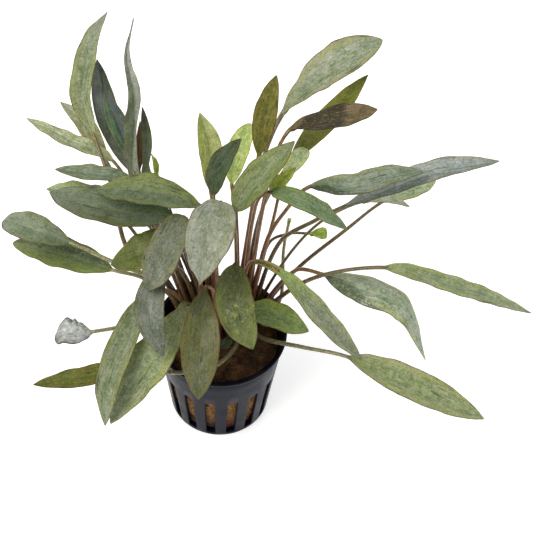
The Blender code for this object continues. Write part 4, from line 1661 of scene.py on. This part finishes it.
# Every leaf, from the right over the middle to the left, and then the front.
LEAVES = (
    Leaf(
        "low_right", Shoot.RIGHT, stalk=((17, -4, 51), (33, -10, 55)),
        blade=((52, -17, 60), (77, -28, 60), (107, -36, 50)), width=17, tones=("#949e73", "#9d8763"),
        start=0.8, left=(1.0, 0.85, 0.82, 0.85, 0.9), stem=GREEN_STALK, wave=0.35, ripples=5,
        flush={Place.RIM: 0.5}, pale={Place.RIM: 0.2},
    ),
    Leaf(
        "arched_front_right", Shoot.RIGHT, stalk=((11, 3, 92),),
        blade=((22, -4, 97), (38, -14, 86), (57, -19, 62)), width=12, tones=("#989c85", "#90ae3d"),
        left=(1.0, 0.8, 0.75, 0.8, 0.9), wave=0.6, wing=0.4, wing_width=1.9, sheath=16.0,
        flush={Place.BASE: 0.9},
    ),
    Leaf(
        "curled_right", Shoot.RIGHT, stalk=((29, 14, 74),),
        blade=((41, 9, 79), (57, 2, 82), (73, -4, 77), (84, -11, 52)), width=15, tones=("#a3ac98", "#857465"),
        fold=-0.35, taper=1.1, right=(1.0, 1.0, 0.8, 0.72, 0.8), wave=0.5, ripples=4, sheath=11.0,
        flush={Place.RIM: 0.2}, dark={Place.UNDERSIDE: 1.0},
    ),
    Leaf(
        "long_right", Shoot.RIGHT, stalk=((35, 7, 78),), blade=((64, 6, 90), (91, 4, 84), (125, 4, 68)),
        width=10.5, tones=("#97a27d", "#98886a"), start=0.5, left=(0.8, 0.7, 0.78, 0.9, 1.0),
        stem=OLIVE_STALK, wave=0.55, ripples=7, flush={Place.RIM: 0.4}, pale={Place.TIP: 0.2},
    ),
    Leaf(
        "pale_right", Shoot.RIGHT, stalk=((30, 21, 66), (49, 29, 84)),
        blade=((63, 38, 92), (73, 40, 96), (84, 47, 96)), width=8, tones=("#bcc9a6", "#a59177"), slot="pale",
        start=0.9, stem=OLIVE_STALK, flush={Place.RIM: 0.4},
    ),
    Leaf(
        "slim_right", Shoot.RIGHT, stalk=((26, 20, 76), (38, 24, 94)),
        blade=((53, 27, 104), (64, 30, 103), (73, 32, 97)), width=5, tones=("#c7cbb7", "#a38d77"), start=0.9,
        stem=OLIVE_STALK, flush={Place.RIM: 0.4},
    ),
    Leaf(
        "grey_right", Shoot.RIGHT, stalk=((22, 20, 84), (36, 20, 100)),
        blade=((46, 20, 109), (63, 26, 115), (82, 33, 119), (106, 41, 117)), width=11,
        tones=("#a0a6a6", "#817371"), skin=SILVERY, start=0.85, left=(0.9, 0.85, 0.85, 1.0, 1.0),
        stem=OLIVE_STALK, wave=0.55, ripples=5, flush={Place.RIM: 0.3}, dark={Place.RIGHT: 0.5},
    ),
    Leaf(
        "upper_right", Shoot.RIGHT, stalk=((17, 16, 90), (25, 15, 114)),
        blade=((32, 18, 122), (49, 16, 127), (62, 22, 127), (75, 27, 124)), width=12.5,
        tones=("#889383", "#7d6c64"), left=(0.7, 0.75, 0.75, 0.8, 0.9), wave=0.55, ripples=4, sheath=14.0,
        flush={Place.RIM: 0.3}, dark={Place.UNDERSIDE: 0.7, Place.RIGHT: 0.3},
    ),
    Leaf(
        "central_right", Shoot.RIGHT, stalk=((12, 12, 116),),
        blade=((18, 6, 132), (31, 3, 130), (47, 5, 114)), width=11.5, tones=("#788f61", "#827758"), start=0.5,
        left=(0.8, 0.7, 0.78, 0.9, 1.0), sheath=18.0, flush={Place.RIM: 0.3},
    ),
    Leaf(
        "bright_young", Shoot.RIGHT, stalk=((15, 13, 114),),
        blade=((17, 11, 126), (22, 12, 132), (26, 16, 135)), width=6, tones=("#e2ed70", "#cacd67"),
        skin=TENDER, slot="bright", wave=0.3, sheath=13.0, pale={Place.RIM: 0.2},
    ),
    Leaf(
        "pale_young", Shoot.RIGHT, stalk=((19, 22, 96),), blade=((22, 25, 117), (26, 31, 120), (30, 39, 120)),
        width=7, tones=("#b4bf95", "#b7af80"), skin=TENDER, slot="pale", taper=0.45, wave=0.3,
        pale={Place.RIM: 0.2},
    ),
    Leaf(
        "green_top_right", Shoot.RIGHT, stalk=((14, 27, 94),),
        blade=((25, 40, 112), (37, 49, 124), (53, 69, 132)), width=10, tones=("#6a701d", "#755e28"),
        skin=TENDER, slot="green", stem=OLIVE_STALK, flush={Place.RIM: 0.4}, dark={Place.BASE: 0.3},
    ),
    Leaf(
        "purple_top_right", Shoot.RIGHT, stalk=((16, 25, 114),),
        blade=((23, 35, 134), (38, 36, 140), (56, 43, 140)), width=12, tones=("#766447", "#2f2023"),
        skin=DEEP, slot="plum", start=1.05, left=(1.0, 0.85, 0.9, 1.0, 1.0), wave=0.6, wing=0.15,
        wing_width=1.0, flush={Place.MIDDLE: 0.95}, dark={Place.MIDDLE: 0.8},
    ),
    Leaf(
        "tall_right", Shoot.RIGHT, stalk=((12, 34, 106),),
        blade=((20, 54, 122), (32, 66, 130), (43, 71, 137), (58, 81, 140)), width=15,
        tones=("#969d87", "#917e6a"), start=1.0, taper=0.68, left=(1.0, 0.98, 1.15, 1.25, 1.1),
        right=(1.0, 1.1, 1.12, 1.12, 1.0), stem=OLIVE_STALK, wave=0.9, ripples=4, wing=0.2, wing_width=1.2,
        flush={Place.RIM: 0.5},
    ),
    Leaf(
        "olive_upright", Shoot.RIGHT, stalk=((11, 22, 110),),
        blade=((12, 28, 126), (14, 39, 138), (17, 52, 146)), width=9.5, tones=("#716d23", "#6c4e29"),
        skin=DEEP, slot="olive", start=0.85, right=(1.0, 0.95, 0.9, 0.85, 0.9), flush={Place.RIM: 0.4},
    ),
    Leaf(
        "centre_upright", Shoot.RIGHT, stalk=((5, 5, 106),), blade=((4, 6, 120), (14, 9, 137), (25, 18, 147)),
        width=14, tones=("#73804c", "#786b48"), sheath=15.0, flush={Place.RIM: 0.3}, pale={Place.RIB: 0.25},
    ),
    Leaf(
        "bud", Shoot.RIGHT, stalk=((18, 26, 76), (26, 25, 84)),
        blade=((34, 24, 86), (37, 24, 86), (41, 24, 86)), width=6, tones=("#bad062", "#b7af5b"), skin=TENDER,
        slot="bright", start=0.9, taper=0.3, stem=OLIVE_STALK, wave=0.2, ragged=0.01,
    ),
    Leaf(
        "upright_yellow", Shoot.LEFT, stalk=((-4, 21, 98),),
        blade=((-6, 25, 108), (-7, 36, 120), (-12, 49, 126)), width=9.5, tones=("#939a57", "#958146"),
        skin=TENDER, slot="green", left=(0.8, 0.85, 1.0, 1.0, 1.0), right=(0.8, 0.85, 1.0, 1.0, 1.0),
        stem=OLIVE_STALK, pale={Place.RIGHT: 0.35},
    ),
    Leaf(
        "upright_dark", Shoot.LEFT, stalk=((-3, 10, 112),),
        blade=((-4, 11, 122), (-2, 17, 132), (5, 24, 140)), width=9, tones=("#45543c", "#5e5642"), skin=DEEP,
        slot="slate", flush={Place.RIM: 0.3},
    ),
    Leaf(
        "upright_pale", Shoot.RIGHT, stalk=((4, 25, 98),), blade=((2, 29, 108), (4, 38, 118), (8, 47, 124)),
        width=9, tones=("#b4c37e", "#bfc85c"), skin=TENDER, slot="pale", taper=0.6, pale={Place.RIM: 0.2},
    ),
    Leaf(
        "tall_left", Shoot.LEFT, stalk=((-28, 15, 68), (-39, 16, 80), (-45, 29, 100)),
        blade=((-54, 47, 112), (-60, 60, 118), (-60, 71, 122), (-59, 88, 124), (-55, 107, 122)), width=10,
        tones=("#8e967b", "#a4a75d"), fold=0.4, taper=1.0, left=(1.0, 1.0, 0.95, 0.95, 1.0),
        right=(1.0, 0.8, 0.82, 0.82, 0.9), stem=OLIVE_STALK, wave=1.0, ripples=4, wing=0.15, wing_width=1.2,
        flush={Place.LEFT: 0.3}, pale={Place.TIP: 0.5},
    ),
    Leaf(
        "slate_left", Shoot.LEFT, stalk=((-30, 27, 83),),
        blade=((-39, 38, 102), (-50, 59, 112), (-57, 85, 116)), width=10.5, tones=("#495444", "#60544a"),
        skin=SILVERY, slot="slate", right=(1.0, 0.95, 0.9, 0.9, 0.9), stem=OLIVE_STALK, wave=0.7,
        flush={Place.RIM: 0.3},
    ),
    Leaf(
        "slim_left", Shoot.LEFT, stalk=((-30, 26, 94),),
        blade=((-38, 38, 108), (-45, 51, 115), (-51, 62, 120)), width=8, tones=("#39464b", "#6b964d"),
        skin=TENDER, slot="green", start=0.9, flush={Place.LEFT: 0.4},
    ),
    Leaf(
        "twisted_left", Shoot.LEFT, stalk=((-28, 14, 104),),
        blade=((-36, 27, 114), (-37, 42, 122), (-38, 53, 130), (-42, 68, 136), (-41, 85, 140)), width=8,
        tones=("#6c735d", "#706751"), skin=SILVERY, fold=0.5, taper=1.6, left=(1.3, 1.05, 0.6, 0.65, 0.7),
        right=(0.15, 0.2, 0.8, 0.7, 0.7), stem=OLIVE_STALK, wave=1.6, ripples=5, ragged=0.09, wing=0.3,
        wing_width=2.2, pale={Place.TIP: 1.0, Place.RIGHT: 0.5}, dark={Place.BASE: 0.4},
    ),
    Leaf(
        "folded_brown", Shoot.LEFT, stalk=((-29, 15, 100),),
        blade=((-35, 29, 108), (-35, 39, 113), (-36, 52, 116)), width=3, tones=("#5e4420", "#52351a"),
        skin=DEEP, slot="olive", start=0.9, left=(1.7, 1.6, 1.3, 1.0, 1.0), right=(1.7, 1.6, 1.3, 1.0, 1.0),
        wing=0.3, wing_width=1.8,
    ),
    Leaf(
        "edge_on_left", Shoot.LEFT, stalk=((-24, 15, 104),),
        blade=((-31, 27, 112), (-32, 40, 117), (-35, 54, 122)), width=4, tones=("#4e5540", "#5c5236"),
        skin=DEEP, slot="slate", start=0.9, left=(1.5, 1.1, 1.0, 1.0, 1.0), right=(1.2, 1.0, 1.0, 1.0, 1.0),
        stem=OLIVE_STALK, wing=0.3, wing_width=2.0,
    ),
    # Its colour is painted light: far brighter than its tissue, standing in for light shining through the
    # thin blade.
    Leaf(
        "sliver_left", Shoot.LEFT, stalk=((-21, 20, 99),),
        blade=((-28, 35, 103), (-29, 40, 105), (-31, 44, 106)), width=2.4, tones=("#c4dc6a", "#c0b060"),
        skin=TENDER, slot="bright", taper=1.1, stem=OLIVE_STALK,
    ),
    Leaf(
        "flat_left", Shoot.LEFT, stalk=((-35, 32, 86),),
        blade=((-47, 46, 98), (-65, 51, 104), (-84, 63, 102)), width=8.5, tones=("#b2b99b", "#9c8973"),
        right=(1.0, 0.9, 0.72, 0.7, 0.8), stem=OLIVE_STALK, wave=0.8, ripples=4, flush={Place.RIM: 0.5},
    ),
    Leaf(
        "back_left", Shoot.LEFT, stalk=((-23, 28, 64), (-37, 36, 79)),
        blade=((-50, 51, 90), (-62, 67, 97), (-72, 75, 100)), width=8, tones=("#a09f79", "#8e795f"),
        start=0.9, stem=OLIVE_STALK, wave=0.6, flush={Place.RIM: 0.4}, pale={Place.TIP: 0.5},
    ),
    Leaf(
        "middle_left", Shoot.LEFT, stalk=((-27, 24, 98),),
        blade=((-37, 30, 106), (-53, 30, 108), (-68, 33, 106)), width=8, tones=("#75846e", "#766959"),
        start=0.85, stem=OLIVE_STALK, flush={Place.RIM: 0.5},
    ),
    Leaf(
        "broad_centre_left", Shoot.LEFT, stalk=((-8, 9, 110),),
        blade=((-9, 9, 118), (-29, 11, 122), (-50, 17, 114)), width=15.5, tones=("#616d52", "#78842e"),
        right=(0.6, 0.8, 1.0, 1.0, 1.0), wave=0.8, ripples=4, flush={Place.RIGHT: 0.6, Place.BASE: 0.4},
    ),
    Leaf(
        "wide_left", Shoot.LEFT, stalk=((-14, 12, 98),),
        blade=((-20, 13, 106), (-38, 10, 110), (-56, 15, 108), (-69, 23, 104)), width=19,
        tones=("#5f674c", "#3f6127"), left=(1.0, 1.0, 0.88, 0.85, 0.9), stem=OLIVE_STALK, wave=1.1, ripples=4,
        sheath=15.0, flush={Place.BASE: 1.0, Place.RIGHT: 0.35}, pale={Place.TIP: 0.25},
        dark={Place.BASE: 0.3},
    ),
    Leaf(
        "shadow_left", Shoot.LEFT, stalk=((-33, 20, 78),),
        blade=((-49, 28, 95), (-61, 29, 98), (-72, 31, 96)), width=9, tones=("#99a986", "#937f64"),
        skin=TENDER, slot="pale", stem=OLIVE_STALK, flush={Place.RIM: 0.3},
    ),
    Leaf(
        "far_left", Shoot.LEFT, stalk=((-21, 15, 66), (-32, 9, 73)),
        blade=((-61, 13, 85), (-74, 15, 89), (-89, 24, 84)), width=15, tones=("#788769", "#7d6d5a"),
        skin=SILVERY, taper=0.45, left=(1.0, 1.0, 1.0, 0.9, 0.8), right=(1.0, 0.92, 0.9, 0.85, 0.8),
        stem=GREEN_STALK, wave=0.6, ripples=4, wing=0.3, wing_width=1.2, flush={Place.RIM: 0.4},
        pale={Place.TIP: 0.3},
    ),
    Leaf(
        "sagging_left", Shoot.LEFT, stalk=((-22, 11, 57), (-33, 12, 66)),
        blade=((-45, 12, 70), (-65, 18, 70), (-88, 26, 66)), width=17, tones=("#717e5c", "#80903a"),
        skin=TENDER, slot="green", taper=0.7, left=(1.0, 1.05, 0.95, 0.85, 0.85),
        right=(1.0, 0.9, 0.9, 1.0, 1.0), stem=GREEN_STALK, wave=1.0, ripples=4, sheath=12.0,
        flush={Place.LEFT: 0.6}, pale={Place.TIP: 0.2}, dark={Place.RIGHT: 0.7},
    ),
    Leaf(
        "green_left", Shoot.LEFT, stalk=((-13, 5, 88),), blade=((-18, 8, 99), (-28, -1, 101), (-43, -1, 91)),
        width=16, tones=("#5c6727", "#786c33"), skin=TENDER, slot="green", stem=OLIVE_STALK, sheath=13.0,
        dark={Place.TIP: 0.2},
    ),
    Leaf(
        "drooping_left", Shoot.LEFT, stalk=((-10, -1, 108),),
        blade=((-15, 4, 117), (-21, -10, 113), (-27, -16, 96)), width=16, tones=("#6d7262", "#786856"),
        right=(1.0, 0.8, 0.82, 0.95, 1.0), wave=0.8, sheath=16.0, flush={Place.RIM: 0.35},
    ),
    Leaf(
        "hanging_left", Shoot.LEFT, stalk=((-16, 3, 84),),
        blade=((-23, -5, 94), (-26, -22, 91), (-20, -35, 80)), width=11.5, tones=("#73786d", "#72675e"),
        skin=SILVERY, stem=OLIVE_STALK, wave=0.9, sheath=17.0, dark={Place.LEFT: 0.5},
    ),
    Leaf(
        "light_centre", Shoot.FRONT, stalk=((-3, 5, 112),),
        blade=((-1, 8, 122), (-4, -4, 123), (-6, -13, 118), (-7, -18, 104)), width=20.5,
        tones=("#8a8f7c", "#897c69"), skin=SILVERY, slot="pale", start=0.85, taper=1.3,
        right=(0.9, 0.8, 0.8, 0.85, 1.0), wave=1.5, ripples=4, ragged=0.05, sheath=20.0,
        flush={Place.RIM: 0.3}, pale={Place.RIGHT: 0.3, Place.RIM: 0.35},
    ),
    Leaf(
        "front_centre", Shoot.FRONT, stalk=((-3, -4, 82),),
        blade=((-6, -6, 86), (-6, -29, 82), (-6, -42, 62)), width=15, tones=("#5a5d32", "#71603a"),
        start=0.95, wave=0.9, ripples=4, wing=0.12, wing_width=1.0, sheath=12.0, flush={Place.RIM: 0.5},
        dark={Place.BASE: 0.3},
    ),
    Leaf(
        "front_spotted", Shoot.FRONT, stalk=((5, 5, 80),), blade=((5, 4, 89), (6, -15, 88), (14, -24, 72)),
        width=15, tones=("#5a6133", "#9ba94a"), skin=MOTTLED, slot="green", start=0.8,
        right=(1.0, 1.0, 1.0, 1.0, 1.0), wave=0.7, sheath=14.0, flush={Place.TIP: 0.22, Place.RIM: 0.2},
    ),
    Leaf(
        "front_right", Shoot.FRONT, stalk=((4, 0, 56),), blade=((8, 1, 62), (20, -3, 64), (36, -5, 59)),
        width=14, tones=("#8b9f5c", "#928245"), start=1.0, left=(1.6, 1.35, 1.1, 1.0, 1.0),
        right=(1.2, 0.85, 0.75, 0.8, 0.8), stem=OLIVE_STALK, wave=0.7, wing=0.4, wing_width=2.6,
        flush={Place.RIM: 0.3},
    ),
    Leaf(
        "big_front_left", Shoot.FRONT, stalk=((-8, -3, 66),),
        blade=((-13, -5, 72), (-16, -12, 74), (-25, -31, 70), (-40, -48, 50)), width=18,
        tones=("#949e78", "#7c7048"), start=1.15, taper=0.9, left=(1.1, 1.1, 0.95, 0.72, 0.75),
        stem=OLIVE_STALK, wave=1.3, ripples=5, ragged=0.05, wing=0.45, wing_width=2.6, sheath=9.0,
        flush={Place.LEFT: 0.15, Place.RIM: 0.2}, pale={Place.TIP: 0.15},
    ),
    Leaf(
        "folded_front_left", Shoot.LEFT, stalk=((-20, 0, 74),),
        blade=((-28, -6, 80), (-37, -28, 76), (-41, -42, 68), (-42, -49, 50)), width=12.5,
        tones=("#808a6c", "#75684d"), right=(0.9, 0.8, 0.78, 0.85, 0.9), wave=1.0, ripples=4, sheath=14.0,
        flush={Place.RIM: 0.5},
    ),
    Leaf(
        "olive_front_left", Shoot.FRONT, stalk=((7, -5, 49), (5, -13, 52), (-2, -21, 53), (-14, -25, 54)),
        blade=((-35, -26, 55), (-53, -31, 56), (-72, -34, 53)), width=11, tones=("#68722a", "#705327"),
        skin=DEEP, slot="green", right=(1.0, 0.9, 0.75, 0.75, 0.85), stem=GREEN_STALK, wave=0.3,
        flush={Place.ALL: 0.2, Place.RIM: 0.4},
    ),
    Leaf(
        "white_left", Shoot.LEFT, stalk=((-17, 0, 56), (-28, -7, 62)),
        blade=((-50, -16, 66), (-57, -18, 67), (-64, -17, 66)), width=12.5, tones=("#bbbbc3", "#706c6c"),
        skin=PAPERY, slot="pale", start=0.8, taper=0.4, stem=GREEN_STALK, wave=1.3, ripples=3, ragged=0.09,
        pale={Place.ALL: 0.3}, dark={Place.RIM: 1.0, Place.BASE: 0.3},
    ),
    Leaf(
        "small_dark", Shoot.FRONT, stalk=((4, -3, 50),), blade=((3, -6, 52), (3, -8, 52), (1, -10, 50)),
        width=4.5, tones=("#3d4c2c", "#504c35"), skin=TENDER, slot="slate", stem=OLIVE_STALK, wave=0.2,
    ),
    Leaf(
        "small_pale", Shoot.FRONT, stalk=((-9, -4, 49), (-15, -9, 50)),
        blade=((-17, -12, 52), (-18, -11, 55), (-18, -10, 57)), width=4.5, tones=("#5f7a34", "#8f8d4a"),
        skin=TENDER, slot="bright", stem=OLIVE_STALK, wave=0.2, pale={Place.RIM: 0.3},
    ),
)


def main() -> None:
    """Builds the pot, its medium, the crown, every leaf and the studio."""
    logging.basicConfig(level=logging.INFO, format="%(message)s")
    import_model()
    pot = Pot(
        PotPlastic("polypropylene_satin_grey", "#0f1322", "#2a3042", 0.34),
        # A darker copy of the same plastic for the lip, as painted shade.
        PotPlastic("polypropylene_lip_shaded", "#0b0c12", "#262832", 0.28),
    )
    pot.make()
    wool = StoneWool("stone_wool_stained", "#2b1a0d", "#6b4420", "#ab7c3c", "#7a2c16")
    fibre = DrySheath("stone_wool_fibre_loose", "#5a3a1a", "#a8844a")
    Medium(wool, fibre, pot).make()
    bark = DrySheath("rootstock_bark_dried", "#2c1710", "#6b4630")
    Crown(bark, StalkSkin("leaf_stalk_cut", "#85703c", "#b2b062")).make()
    stems = {skin: skin.make() for skin in (BROWN_STALK, OLIVE_STALK, GREEN_STALK)}
    sheath = DrySheath("leaf_sheath_dried", "#6a3418", "#c07e3e").make()
    roots = seats(LEAVES)
    for leaf in LEAVES:
        line = leaf.line(roots[leaf.name])
        leaf.make_blade(line, leaf.skin.make(leaf.name, leaf.tones))
        leaf.make_stalk(line, stems[leaf.stem])
        if leaf.sheath:
            leaf.make_sheath(line, sheath)
    Studio(LightTable()).make()


if __name__ == "__main__":
    main()
